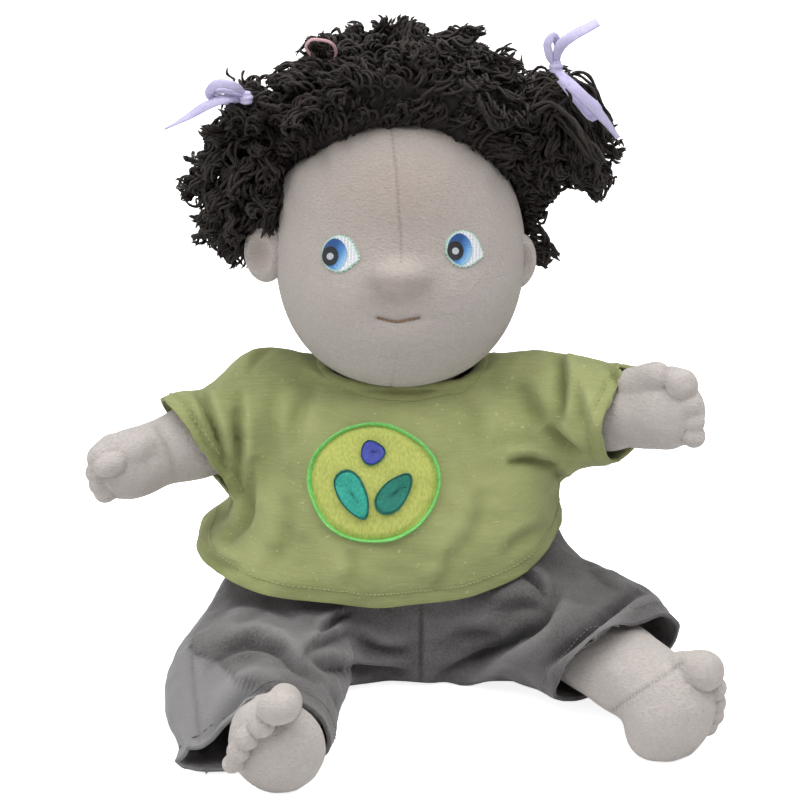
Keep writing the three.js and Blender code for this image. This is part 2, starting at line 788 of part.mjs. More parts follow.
function trouserTube(name, grow, t0, t1) {
  const frame = legFrame(name);
  const outward = frame.side.x * sideSign[name] > 0 ? 1 : -1;
  const rings = [];
  for (let i = 0; i <= 5; i += 1) {
    const t = t0 + ((t1 - t0) * i) / 5;
    const [wide, high, drop, shift] = along(TROUSER[name], Math.min(t, HEM_AT[name]));
    const share = Math.min(1, t / HEM_AT[name]);
    const wave = (angle) => (Math.sin(angle) > -0.3 ? 1.1 * share * Math.sin(5 * angle + 3 * share) : 0);
    const middle = place(frame, t, outward * shift, drop);
    rings.push(oval(middle, frame.side, frame.up, wide + grow, high + grow, 26, 2.5, wave));
  }
  return loft(rings);
}

function makeTrouserLeg(name) {
  const hip = HIP[name];
  const top = TOP_OF_HIPS[name] - 0.6;
  let cloth = trouserTube(name, 0, 0, HEM_AT[name]).add(upright(hip, HIP_DRUM, 0, top, 32));
  cloth = cloth.subtract(upright(hip, HIP_DRUM - CLOTH, CLOTH, top - CLOTH, 28));
  cloth = cloth.subtract(trouserTube(name, -CLOTH, 4, HEM_AT[name] + 6));
  cloth = cloth.intersect(box(-300, 300, -300, 300, 0, top));
  return largestOf(cloth.subtract(beyondHem(name)));
}

// Everything past the slanted hem: the upper edge lies at HEM_AT, the lower edge nearer to the hip.
function beyondHem(name) {
  const frame = legFrame(name);
  const high = 2 * TROUSER[name][3][2];
  const shape = new THREE.Shape();
  shape.moveTo(HEM_AT[name] - HEM_SLANT[name], -3);
  shape.lineTo(HEM_AT[name], high + 3);
  shape.lineTo(HEM_AT[name] + 40, high + 3);
  shape.lineTo(HEM_AT[name] + 40, -3);
  shape.closePath();
  const geometry = new THREE.ExtrudeGeometry(shape, { depth: 120, bevelEnabled: false });
  geometry.translate(0, 0, -60);
  const basis = new THREE.Matrix4().makeBasis(frame.way, Z, frame.side.clone().negate());
  geometry.applyMatrix4(basis);
  geometry.translate(HIP[name][0], HIP[name][1], 0);
  return solidOf(geometry);
}

// Bow of flat ribbon: two loops, two tails and a knot.
function makeRibbon(name) {
  const s = sideSign[name];
  const band = (points, width) => {
    const path = new THREE.CatmullRomCurve3(points.map((p) => new THREE.Vector3(...p, 0)));
    const line = path.getPoints(6);
    const shape = new THREE.Shape();
    const left = [];
    const right = [];
    line.forEach((p, i) => {
      const before = line[Math.max(0, i - 1)];
      const after = line[Math.min(line.length - 1, i + 1)];
      const n = new THREE.Vector3(-(after.y - before.y), after.x - before.x, 0).normalize();
      left.push([p.x + n.x * 0.6, p.y + n.y * 0.6]);
      right.unshift([p.x - n.x * 0.6, p.y - n.y * 0.6]);
    });
    const all = [...left, ...right];
    shape.moveTo(...all[0]);
    all.slice(1).forEach((p) => shape.lineTo(...p));
    shape.closePath();
    const geometry = new THREE.ExtrudeGeometry(shape, { depth: width, bevelEnabled: false });
    geometry.translate(0, 0, -width / 2);
    return solidOf(geometry);
  };
  let bow = joinedUp([
    band([[0, 0], [7, 5], [14, 4.5], [15, 0.5], [8, -2], [0, -0.6]], 8),
    band([[0, 0], [-6, 4.5], [-13, 4], [-14, 0.3], [-7, -2], [0, -0.6]], 8),
    band([[0, 0], [10, -5], [19, -6], [25, -11]], 7),
    band([[0, 0], [-8, -5], [-14, -11], [-17, -19]], 7),
    ball([0, 0, 0], 3.4, 2, [1, 0.8, 1.3]),
  ]);
  const turn = name === 'left' ? [62, 0, 62] : [64, 0, -20];
  bow = bow.rotate(turn);
  const at = name === 'left' ? [69, -1, 251] : [-69, -3.4, 243.6];
  bow = bow.translate(at);
  const { centre, size, tilt } = BUNCHES[name];
  const hair = lumpy(centre, size, name === 'left' ? 2.1 : 4.2, 2.4, AIR, 4, tilt);
  const cap = lumpy(HAIR_MIDDLE, HAIR_SIZE, 1.3, 2.6, AIR, 5);
  return largestOf(bow.subtract(hair).subtract(cap));
}

// Where the loop comes out of the hair, in shares of the cap's half sizes.
const LOOP_AT = [-0.507, -0.074, 0.879];

function makeHairLoop() {
  const geometry = new THREE.TorusGeometry(6.5, 1.3, 6, 18);
  geometry.rotateX(THREE.MathUtils.degToRad(60));
  geometry.translate(...HAIR_MIDDLE.map((middle, i) => middle + LOOP_AT[i] * HAIR_SIZE[i]));
  const loop = solidOf(geometry);
  return largestOf(loop.subtract(lumpy(HAIR_MIDDLE, HAIR_SIZE, 1.3, 2.6, AIR, 5)));
}

// The badge on the shirt: a disc, its corded edge and a plain leaf sprig.
const PATCH = { at: [-10.5, 95], size: [27.2, 24.6] };

function frontPunch(shape) {
  const geometry = new THREE.ExtrudeGeometry(shape, { depth: 60, bevelEnabled: false, curveSegments: 8 });
  geometry.rotateX(Math.PI / 2);
  geometry.translate(PATCH.at[0], -12, PATCH.at[1]);
  return solidOf(geometry);
}

function ellipse(wide, high, x = 0, y = 0, turn = 0) {
  const shape = new THREE.Shape();
  shape.absellipse(x, y, wide, high, 0, 2 * Math.PI, false, turn);
  return shape;
}

function patchPiece(shape, from, to) {
  return largestOf(shirtSkin(AIR + to).subtract(shirtSkin(AIR + from)).intersect(frontPunch(shape)));
}

function makePatch() {
  const [wide, high] = PATCH.size;
  const pieces = {};
  const outer = frontPunch(ellipse(wide - 2.2, high - 2.2));
  pieces.patch_disc = patchPiece(ellipse(wide - 2.4, high - 2.4), 0, 0.9);
  const edge = patchPiece(ellipse(wide, high), 0, 1.5);
  pieces.patch_border = largestOf(edge.subtract(outer));
  pieces.patch_leaf_large = patchPiece(ellipse(12, 6, 8.8, -2.5, 0.75), 1.15, 1.9);
  pieces.patch_leaf_small = patchPiece(ellipse(11, 5.4, -9.4, -2.5, 2.3), 1.15, 1.9);
  pieces.patch_berry = patchPiece(circle(-1, 12, 5.2), 1.15, 1.9);
  return pieces;
}

function makeNeck() {
  const [x, y, z] = NECK_PIVOT;
  return upright([x, y], NECK_RADIUS, NECK_FOOT, z, 24).add(ball(NECK_PIVOT, NECK_BALL, 3));
}

// The head sits on the ball of the neck, and its opening widens downward for the nod.
function makeHead() {
  const [, , z] = NECK_PIVOT;
  const opening = new THREE.CylinderGeometry(NECK_RADIUS + 1, NECK_RADIUS + 8, 30, 24);
  opening.rotateX(Math.PI / 2);
  opening.translate(NECK_PIVOT[0], NECK_PIVOT[1], z - 17);
  return headSolid(0).subtract(ball(NECK_PIVOT, NECK_BALL + SOCKET, 3)).subtract(solidOf(opening));
}

function makeEyes(name) {
  const [toSide, up] = EYE_AT[name];
  const skin = headSolid(1.0).subtract(headSolid(0.25));
  const cut = (shape) => punch(shape, toSide, up);
  const pieces = {};
  const border = cut(eyeShape(EYE_SIZE, EYE_SIZE * 1.42)).subtract(cut(eyeShape(EYE_SIZE - 0.9, EYE_SIZE * 1.24)));
  const white = cut(eyeShape(EYE_SIZE - 1.1, EYE_SIZE * 1.2));
  const iris = cut(circle(-0.7, 0, EYE_SIZE - 2.6));
  const irisRoom = cut(circle(-0.7, 0, EYE_SIZE - 2.4));
  const pupil = cut(circle(-1.3, -0.3, 3.7));
  const pupilRoom = cut(circle(-1.3, -0.3, 3.9));
  pieces[`${name}_eye_border`] = largestOf(skin.intersect(border));
  pieces[`${name}_eye_white`] = largestOf(skin.intersect(white).subtract(irisRoom));
  pieces[`${name}_iris`] = largestOf(skin.intersect(iris).subtract(pupilRoom));
  pieces[`${name}_pupil`] = largestOf(skin.intersect(pupil));
  return pieces;
}

function makeMouth() {
  const points = [];
  for (let i = 0; i <= 8; i += 1) {
    const toSide = -9.6 + (19.2 * i) / 8;
    const dip = -16.4 - 1.3 * Math.cos((toSide / 9.6) * Math.PI * 0.9);
    const way = headWay(toSide, dip);
    const local = way.clone().applyAxisAngle(X, THREE.MathUtils.degToRad(HEAD_LEAN));
    points.push(way.multiplyScalar(headRadius(local) + 0.4).add(new THREE.Vector3(...HEAD_CENTRE)));
  }
  const thread = ridge(new THREE.CatmullRomCurve3(points), 0.9, 16);
  return largestOf(thread.subtract(headSolid(0.2)));
}

function makeEar(name) {
  return largestOf(earSolid(name, 0).subtract(headSolid(0.25)));
}

// All pieces

const SKIN = { color: 0xc3b6ab, roughness: 0.92 };
const JERSEY = { color: 0x9aa069, roughness: 0.9 };
const VELOUR = { color: 0x6c6a69, roughness: 0.95 };
const HAIR = { color: 0x2c241f, roughness: 0.85 };
const SATIN = { color: 0xc2bfdc, roughness: 0.4 };

const pieces = [];

function keep(name, solid, look) {
  const small = solid.boundingBox().max[2] - solid.boundingBox().min[2] < 50 && solid.volume() < 2500;
  pieces.push([name, largestOf(solid.simplify(small ? FINENESS / 4 : FINENESS)), look]);
}

keep('torso', makeTorso(), SKIN);
keep('shirt_body', makeShirt(), JERSEY);
keep('neck_band', makeNeckBand(), { color: 0x969c66, roughness: 0.9 });
const patchLooks = {
  patch_disc: { color: 0xb3b35e, roughness: 0.85 },
  patch_border: { color: 0x79cf67, roughness: 0.55 },
  patch_leaf_large: { color: 0x1f7866, roughness: 0.5 },
  patch_leaf_small: { color: 0x2a9d8c, roughness: 0.5 },
  patch_berry: { color: 0x3340a0, roughness: 0.5 },
};
for (const [name, solid] of Object.entries(makePatch())) {
  keep(name, solid, patchLooks[name]);
}
keep('trousers_seat', makeTrousersSeat(), VELOUR);
keep('waist_elastic', makeWaistElastic(), { color: 0xe6e3da, roughness: 0.8 });
keep('neck', makeNeck(), SKIN);
keep('head', makeHead(), SKIN);
keep('mouth_thread', makeMouth(), { color: 0x5f4b3c, roughness: 0.7 });
keep('hair_cap', makeHairCap(), HAIR);
keep('hair_loop', makeHairLoop(), { color: 0x966e78, roughness: 0.6 });
const eyeLooks = {
  eye_border: { color: 0xbfcfc2, roughness: 0.5 },
  eye_white: { color: 0xf2f2ee, roughness: 0.5 },
  iris: { color: 0x3f7fb8, roughness: 0.45 },
  pupil: { color: 0x0c0c10, roughness: 0.4 },
};
for (const name of ['left', 'right']) {
  for (const [piece, solid] of Object.entries(makeEyes(name))) {
    keep(piece, solid, eyeLooks[piece.replace(`${name}_`, '')]);
  }
  keep(`${name}_ear`, makeEar(name), SKIN);
  keep(`${name}_hair_bunch`, makeBunch(name), HAIR);
  keep(`${name}_bunch_tie`, tieSolid(name, 0), { color: 0x2a2433, roughness: 0.7 });
  keep(`${name}_ribbon`, makeRibbon(name), SATIN);
  keep(`${name}_arm`, makeArm(name), SKIN);
  keep(`${name}_sleeve`, makeSleeve(name), JERSEY);
  keep(`${name}_leg`, makeLeg(name), SKIN);
  keep(`${name}_trouser_leg`, makeTrouserLeg(name), VELOUR);
}

const doll = new THREE.Group();
doll.name = 'doll';
for (const [name, solid, look] of pieces) {
  const geometry = geometryOf(solid.translate([-MIDDLE[0], -MIDDLE[1], 0]));
  const material = new THREE.MeshStandardMaterial({ ...look, metalness: 0 });
  const mesh = new THREE.Mesh(geometry, material);
  mesh.name = name;
  doll.add(mesh);
}

export default doll;
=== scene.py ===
"""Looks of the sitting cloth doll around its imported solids.

Shapes are worked out in the part's own millimetres (X to the doll's left, Y to its back, Z up) and go into
the frame in metres through to_frame(). Some folds and small pieces are placed by a pixel of an 800 x 800
picture taken with the camera below; at_pixel() gives the point of a pixel at a stated depth.
"""
import itertools
import math

import bpy
import numpy as np
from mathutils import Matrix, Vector
from mathutils.bvhtree import BVHTree

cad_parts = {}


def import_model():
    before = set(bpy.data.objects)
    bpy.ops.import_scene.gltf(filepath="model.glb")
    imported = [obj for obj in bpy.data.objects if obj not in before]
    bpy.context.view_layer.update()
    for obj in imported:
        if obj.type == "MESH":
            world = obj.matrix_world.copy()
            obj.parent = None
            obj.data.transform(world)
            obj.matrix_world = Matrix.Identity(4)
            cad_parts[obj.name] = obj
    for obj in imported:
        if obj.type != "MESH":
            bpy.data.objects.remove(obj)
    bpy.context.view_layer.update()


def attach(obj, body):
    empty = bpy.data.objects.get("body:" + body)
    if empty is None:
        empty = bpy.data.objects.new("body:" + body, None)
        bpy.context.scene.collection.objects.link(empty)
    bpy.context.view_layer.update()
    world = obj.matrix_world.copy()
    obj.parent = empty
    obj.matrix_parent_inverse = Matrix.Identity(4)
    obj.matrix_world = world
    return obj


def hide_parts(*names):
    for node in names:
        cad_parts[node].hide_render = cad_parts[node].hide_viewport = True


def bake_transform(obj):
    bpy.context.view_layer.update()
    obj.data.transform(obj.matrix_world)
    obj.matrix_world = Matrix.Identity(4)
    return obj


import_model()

# Measures, in millimetres and degrees
MIDDLE = np.array([-1.59, -37.809, 0.0])  # the part's own point that lies at the frame's origin
SIDES = {"left": 1, "right": -1}
HEAD_CENTRE = np.array([0, 5, 178.5])
HEAD_SIZE = np.array([51.5, 49, 57])
HEAD_POWER = 2.3
HEAD_LEAN = 8
NECK_PIVOT = np.array([0, 5, 144])
SHOULDER = np.array([57, 2, 106])
ARM_LIFT = {"left": 12, "right": -13}
ARM_FORWARD = {"left": 33, "right": 24}
CUFF_RADIUS = {"left": 18.5, "right": 20}
HIP = {"left": np.array([43, -10, 20]), "right": np.array([-43, -22, 20])}
LEG_OUT = {"left": 38, "right": 3}
FOOT_AT = 113
EAR_AT = {"left": np.array([47.5, -3, 175]), "right": np.array([-55.5, -3, 178])}
TRUNK = [  # height, half width, half depth, middle in Y
    [0, 55, 37, 1], [6, 62, 42, 0.5], [20, 66, 45, 0], [45, 66, 46, -1], [70, 61, 45, -1.5],
    [88, 57.5, 42, -1], [104, 55.5, 38, 0], [114, 53, 34.5, 1], [121, 46, 29, 2], [125, 34, 23, 3],
]
HAIR_MIDDLE = np.array([1, 16, 204])
HAIR_SIZE = np.array([67, 54, 66])

# Camera
TILT = math.radians(20)
DISTANCE = 1100
TARGET = np.array([0, 0, 113.0])
MM_PER_PX = 0.42
CAMERA_WAY = np.array([0, -math.cos(TILT), math.sin(TILT)])


def to_frame(points):
    return (np.asarray(points, float) - MIDDLE) / 1000


def pixel(points):
    """Column and row of points in the 800 x 800 picture."""
    x, y, z = (np.asarray(points, float) - TARGET).T
    depth = DISTANCE + y * math.cos(TILT) - z * math.sin(TILT)
    scale = DISTANCE / (MM_PER_PX * depth)
    return 400 + x * scale, 400 - (y * math.sin(TILT) + z * math.cos(TILT)) * scale


def at_pixel(u, v, y):
    """The point at depth y that the camera shows at column u and row v."""
    up = (400 - v) * MM_PER_PX / DISTANCE
    s, c = math.sin(TILT), math.cos(TILT)
    z = (up * (DISTANCE + y * c) - y * s) / (c + up * s)
    depth = DISTANCE + y * c - z * s
    return np.array([(u - 400) * MM_PER_PX * depth / DISTANCE, y, z + TARGET[2]])


def make_camera():
    data = bpy.data.cameras.new("camera")
    data.sensor_width = 36
    data.lens = 18 / (400 * MM_PER_PX / DISTANCE)
    data.clip_start = 0.05
    camera = bpy.data.objects.new("camera", data)
    bpy.context.scene.collection.objects.link(camera)
    camera.location = to_frame(TARGET + DISTANCE * CAMERA_WAY)
    camera.rotation_euler = (math.pi / 2 - TILT, 0, 0)
    bpy.context.scene.camera = camera


# Numbers
def smoothstep(x, low, high):
    """0 up to low, 1 from high on, and a smooth way between."""
    t = np.clip((x - low) / (high - low), 0, 1)
    return t * t * (3 - 2 * t)


def smooth_table(table):
    """Returns a function of x that gives the smooth values of a table's rows [x, value, value...]."""
    rows = np.asarray(table, float)
    x = rows[:, 0]
    slopes = np.gradient(rows[:, 1:], x, axis=0)

    def value(at):
        at = np.clip(at, x[0], x[-1])
        i = np.clip(np.searchsorted(x, at) - 1, 0, len(x) - 2)
        span = x[i + 1] - x[i]
        t = ((at - x[i]) / span)[..., None]
        a, b = rows[i, 1:], rows[i + 1, 1:]
        ma, mb = slopes[i] * span[..., None], slopes[i + 1] * span[..., None]
        out = a * (2 * t**3 - 3 * t**2 + 1) + ma * (t**3 - 2 * t**2 + t)
        out = out + b * (3 * t**2 - 2 * t**3) + mb * (t**3 - t**2)
        return np.moveaxis(out, -1, 0)

    return value


def unit(v):
    v = np.asarray(v, float)
    return v / np.maximum(np.linalg.norm(v, axis=-1, keepdims=True), 1e-12)


def turned(axis, degrees):
    """The matrix that turns points about axis 0, 1 or 2."""
    c, s = math.cos(math.radians(degrees)), math.sin(math.radians(degrees))
    one, two = (axis + 1) % 3, (axis + 2) % 3
    matrix = np.eye(3)
    matrix[one, one] = matrix[two, two] = c
    matrix[one, two], matrix[two, one] = -s, s
    return matrix


def wobble(points, size, seed):
    """Smooth noise from -1 to 1 whose waves are about size long."""
    rng = np.random.default_rng(seed)
    total = np.zeros(len(points))
    for _ in range(7):
        way = unit(rng.normal(size=3)) * 2 * math.pi / size * (0.7 + 0.8 * rng.random())
        total += np.sin(points @ way + rng.random() * 6.28)
    return total / 3.5


# Distance fields
def join(a, b, reach):
    """The union of two fields, rounded over where they are within reach of each other."""
    h = np.clip(0.5 + 0.5 * (b - a) / reach, 0, 1)
    return b + (a - b) * h - reach * h * (1 - h)


def rod(p, a, b, ra, rb=None):
    """Distance from a rod with round ends, whose radius may change from a to b."""
    a, b = np.asarray(a, float), np.asarray(b, float)
    rb = ra if rb is None else rb
    along = b - a
    t = np.clip((p - a) @ along / (along @ along), 0, 1)
    return np.linalg.norm(p - a - t[:, None] * along, axis=1) - (ra + (rb - ra) * t)


def egg(p, centre, axes, size):
    """About the distance from an ellipsoid."""
    q = (p - centre) @ np.asarray(axes, float).T
    size = np.asarray(size, float)
    k0 = np.linalg.norm(q / size, axis=1)
    k1 = np.linalg.norm(q / size**2, axis=1)
    return k0 * (k0 - 1) / np.maximum(k1, 1e-9)


def surface(field, low, high, step, polish=2, relax=1):
    """Quads over the zero level of a field, from one point in each grid cell that it passes."""
    low = np.asarray(low, float)
    counts = np.ceil((np.asarray(high, float) - low) / step).astype(int) + 1
    axes = [low[k] + step * np.arange(counts[k]) for k in range(3)]
    grid = np.stack(np.meshgrid(*axes, indexing="ij"), -1).reshape(-1, 3)
    values = np.concatenate([field(part) for part in np.array_split(grid, max(1, len(grid) // 400000))])
    values = values.reshape(counts)
    nx, ny, nz = counts - 1
    total = np.zeros((nx, ny, nz, 3))
    crossings = np.zeros((nx, ny, nz))

    def corner(i, j, k):
        return values[i : nx + i, j : ny + j, k : nz + k]

    for axis in range(3):
        for i, j in itertools.product((0, 1), repeat=2):
            a = np.insert([i, j], axis, 0)
            b = np.insert([i, j], axis, 1)
            va, vb = corner(*a), corner(*b)
            cross = (va < 0) != (vb < 0)
            t = np.where(cross, va / np.where(cross, va - vb, 1), 0)
            for k in range(3):
                place = t if k == axis else a[k]
                total[..., k] += np.where(cross, place, 0)
            crossings += cross
    used = crossings > 0
    index = np.full(used.shape, -1)
    index[used] = np.arange(used.sum())
    cell = np.stack(np.nonzero(used), -1)
    points = low + step * (cell + total[used] / crossings[used][:, None])
    faces = []
    for axis in range(3):
        one, two = [k for k in range(3) if k != axis]
        head = [slice(1, -1)] * 3
        head[axis] = slice(0, -1)
        tail = list(head)
        tail[axis] = slice(1, None)
        va, vb = values[tuple(head)], values[tuple(tail)]
        cross = (va < 0) != (vb < 0)
        at = np.stack(np.nonzero(cross), -1)
        at[:, one] += 1
        at[:, two] += 1
        corners = []
        for i, j in ((-1, -1), (0, -1), (0, 0), (-1, 0)):
            c = at.copy()
            c[:, one] += i
            c[:, two] += j
            corners.append(index[tuple(c.T)])
        quads = np.stack(corners, -1)
        flip = (va < 0)[cross] == (axis == 1)
        quads[flip] = quads[flip][:, ::-1]
        faces.append(quads)
    faces = np.concatenate(faces)
    for _ in range(relax):
        points = relaxed(points, faces, 0.6)
    for _ in range(polish):
        h = 0.25
        slope = np.stack(
            [field(points + np.eye(3)[k] * h) - field(points - np.eye(3)[k] * h) for k in range(3)], -1
        ) / (2 * h)
        size2 = np.maximum((slope**2).sum(1), 0.2)
        move = field(points)[:, None] * slope / size2[:, None]
        points = points - np.clip(move, -step, step)
    return points, faces


# Meshes
def grid_quads(rows, columns, closed=True):
    """Quads between rows of points, round and round where closed."""
    i = np.arange(rows - 1)[:, None] * columns
    j = np.arange(columns if closed else columns - 1)[None]
    k = (j + 1) % columns
    return np.stack(np.broadcast_arrays(i + j, i + j + columns, i + k + columns, i + k), -1).reshape(-1, 4)


def ball(azimuth, polar):
    """Unit ways in rows from pole to pole, the quads between them and all faces with the caps."""
    rows, columns = len(polar), len(azimuth)
    around = np.stack([np.cos(azimuth), np.sin(azimuth)], -1)[None] * np.sin(polar)[:, None, None]
    way = np.concatenate([around, np.broadcast_to(np.cos(polar)[:, None, None], (rows, columns, 1))], -1)
    quads = grid_quads(rows, columns)
    caps = [tuple(range(columns)), tuple(range((rows - 1) * columns, rows * columns))[::-1]]
    return way.reshape(-1, 3), quads, [tuple(q) for q in quads] + caps


def edges_of(faces):
    n = faces.shape[1]
    pairs = np.concatenate([faces[:, [k, (k + 1) % n]] for k in range(n)])
    return np.unique(np.sort(pairs, axis=1), axis=0)


def relaxed(points, faces, share, times=1):
    """Moves each point towards the middle of its neighbours."""
    edges = edges_of(faces)
    count = np.bincount(edges.ravel(), minlength=len(points))[:, None]
    for _ in range(times):
        total = np.zeros_like(points)
        for k in range(3):
            total[:, k] = np.bincount(edges[:, 0], points[edges[:, 1], k], len(points))
            total[:, k] += np.bincount(edges[:, 1], points[edges[:, 0], k], len(points))
        points = points + share * (total / np.maximum(count, 1) - points)
    return points


def normals_of(points, faces):
    n = faces.shape[1]
    one, two, three, last = (points[faces[:, k]] for k in (0, 1, 2, n - 1))
    normal = np.cross(three - one, last - two)
    total = np.zeros_like(points)
    for k in range(n):
        for c in range(3):
            total[:, c] += np.bincount(faces[:, k], normal[:, c], len(points))
    return unit(total)


def tidy(points, faces):
    """Drops points that no face uses."""
    used = np.unique(faces)
    back = np.full(len(points), -1)
    back[used] = np.arange(len(used))
    return points[used], back[faces]


def rim_of(faces):
    """Directed edges along the open border."""
    n = faces.shape[1]
    pairs = np.concatenate([faces[:, [k, (k + 1) % n]] for k in range(n)])
    keys = np.sort(pairs, axis=1)
    _, inverse, uses = np.unique(keys, axis=0, return_inverse=True, return_counts=True)
    return pairs[uses[inverse.ravel()] == 1]


def even_rim(points, faces, times=5):
    """Smooths the open border, which a cut across the cloth's own faces leaves uneven."""
    rim = rim_of(faces)
    points = points.copy()
    ends = np.bincount(rim.ravel(), minlength=len(points)) == 2
    for _ in range(times):
        total = np.zeros_like(points)
        np.add.at(total, rim[:, 0], points[rim[:, 1]])
        np.add.at(total, rim[:, 1], points[rim[:, 0]])
        points[ends] = 0.5 * points[ends] + 0.25 * total[ends]
    return points


def thickened(points, faces, thick, normals=None):
    """A cloth of that thickness, from its outer side inward, closed along its edges.

    Returns its points, its faces and a normal for each face's corners, which rounds the edges off.
    """
    if normals is None:
        normals = normals_of(points, faces)
    count = len(points)
    rim = rim_of(faces)
    beyond = np.zeros_like(points)
    side = np.cross(points[rim[:, 1]] - points[rim[:, 0]], normals[rim[:, 0]])
    for k in range(2):
        for c in range(3):
            beyond[:, c] += np.bincount(rim[:, k], side[:, c], count)
    beyond = unit(beyond)
    bridge = np.stack([rim[:, 1], rim[:, 0], rim[:, 0] + count, rim[:, 1] + count], -1)
    every = [tuple(f) for f in faces] + [tuple(f[::-1] + count) for f in faces] + [tuple(f) for f in bridge]
    outer, inner = unit(beyond + normals), unit(beyond - normals)
    corners = [
        normals[faces].reshape(-1, 3), -normals[faces[:, ::-1]].reshape(-1, 3),
        np.stack([outer[rim[:, 1]], outer[rim[:, 0]], inner[rim[:, 0]], inner[rim[:, 1]]], 1).reshape(-1, 3),
    ]
    return np.concatenate([points, points - normals * thick]), every, np.concatenate(corners)


def piece(name, points, faces, material, body, nodes=(), flags=None, normals=None):
    """A mesh in the frame, from points in the part's millimetres."""
    mesh = bpy.data.meshes.new(name)
    points = to_frame(points)
    if isinstance(faces, np.ndarray):
        sizes = np.full(len(faces), faces.shape[1])
        loops = faces.ravel()
    else:
        sizes = np.array([len(f) for f in faces])
        loops = np.fromiter(itertools.chain.from_iterable(faces), int)
    mesh.vertices.add(len(points))
    mesh.vertices.foreach_set("co", points.astype(np.float32).ravel())
    mesh.loops.add(len(loops))
    mesh.loops.foreach_set("vertex_index", loops.astype(np.int32))
    mesh.polygons.add(len(sizes))
    mesh.polygons.foreach_set("loop_start", np.concatenate([[0], np.cumsum(sizes)[:-1]]).astype(np.int32))
    mesh.polygons.foreach_set("loop_total", sizes.astype(np.int32))
    mesh.update(calc_edges=True)
    mesh.validate()
    mesh.polygons.foreach_set("use_smooth", np.ones(len(mesh.polygons), bool))
    if normals is not None and len(mesh.loops) == len(normals):
        mesh.normals_split_custom_set([tuple(n) for n in normals])
    for key, values in (flags or {}).items():
        values = np.asarray(values, np.float32)
        if values.ndim == 2:
            colour = np.concatenate([values, np.ones((len(values), 1), np.float32)], 1)
            mesh.attributes.new(key, "FLOAT_COLOR", "POINT").data.foreach_set("color", colour.ravel())
        else:
            mesh.attributes.new(key, "FLOAT", "POINT").data.foreach_set("value", values)
    mesh.materials.append(material)
    obj = bpy.data.objects.new(name, mesh)
    bpy.context.scene.collection.objects.link(obj)
    if body:
        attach(obj, body)
    if nodes:
        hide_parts(*nodes)
    return obj


def tubes(paths, radii, sides=6):
    """Round strands along paths, an array strand x point x 3, with radii strand x point."""
    paths = np.asarray(paths, float)
    radii = np.broadcast_to(np.asarray(radii, float), paths.shape[:2])
    count, rings = paths.shape[:2]
    way = unit(np.gradient(paths, axis=1))
    normal = np.zeros_like(paths)
    seed = np.where(np.abs(way[:, 0, 2:3]) < 0.8, [[0, 0, 1.0]], [[1.0, 0, 0]])
    normal[:, 0] = unit(np.cross(way[:, 0], seed))
    for i in range(1, rings):
        before = normal[:, i - 1]
        normal[:, i] = unit(before - way[:, i] * (before * way[:, i]).sum(1, keepdims=True))
    other = np.cross(way, normal)
    angle = np.arange(sides) / sides * 2 * math.pi
    ring = normal[:, :, None] * np.cos(angle)[:, None] + other[:, :, None] * np.sin(angle)[:, None]
    points = paths[:, :, None] + ring * radii[:, :, None, None]
    base = np.arange(count)[:, None] * rings * sides
    quads = base[:, :, None] + grid_quads(rings, sides)[:, [0, 3, 2, 1]]
    start = base + np.arange(sides)[::-1]
    end = start[:, ::-1] + (rings - 1) * sides
    faces = [tuple(f) for f in quads.reshape(-1, 4)] + [tuple(f) for f in start] + [tuple(f) for f in end]
    return points.reshape(-1, 3), faces


def spline(points, count):
    """count points at even steps along a smooth line through points."""
    p = np.asarray(points, float)
    t = np.concatenate([[0], np.cumsum(np.linalg.norm(np.diff(p, axis=0), axis=1))])
    fine = smooth_table(np.column_stack([t, p]))(np.linspace(0, t[-1], 60 * len(p))).T
    length = np.concatenate([[0], np.cumsum(np.linalg.norm(np.diff(fine, axis=0), axis=1))])
    at = np.linspace(0, length[-1], count)
    return np.stack([np.interp(at, length, fine[:, k]) for k in range(p.shape[1])], -1)


def creased(points, faces, lines):
    """Folds pressed into the side that the camera sees, each along a row of pixels.

    A line is (pixels, depth, width in pixels, lip): the cloth goes in along the line by depth, and stands
    up by lip beside it, on the left as the line runs.
    """
    u, v = pixel(points)
    facing = smoothstep(normals_of(points, faces) @ CAMERA_WAY, -0.05, 0.35)
    total = np.zeros(len(points))
    for pixels, depth, width, lip in lines:
        line = spline(pixels, 40)
        gap = np.stack([u[:, None] - line[None, :, 0], v[:, None] - line[None, :, 1]], -1)
        near = np.argmin((gap**2).sum(-1), axis=1)
        gap = gap[np.arange(len(points)), near]
        way = unit(np.gradient(line, axis=0))[near]
        side = (gap[:, 0] * way[:, 1] - gap[:, 1] * way[:, 0]) / width
        past = np.abs((gap * way).sum(1)) / width
        fade = np.sin(math.pi * np.clip(near / 39, 0.0, 1)) ** 0.6 * np.exp(-(past**2))
        total += fade * (lip * np.exp(-(((side - 1.7) / 1.3) ** 2)) - depth * np.exp(-(side**2)))
    total = total * facing
    # the second value, the crease's depth, is painted as shade in the crease and as a highlight on its lip
    return points + normals_of(points, faces) * total[:, None], np.clip(total / 4, -1, 1)


# Materials
def rgb(code):
    """Linear colour of a written sRGB colour."""
    parts = [int(code[i : i + 2], 16) / 255 for i in (0, 2, 4)]
    return [c / 12.92 if c <= 0.04045 else ((c + 0.055) / 1.055) ** 2.4 for c in parts] + [1]


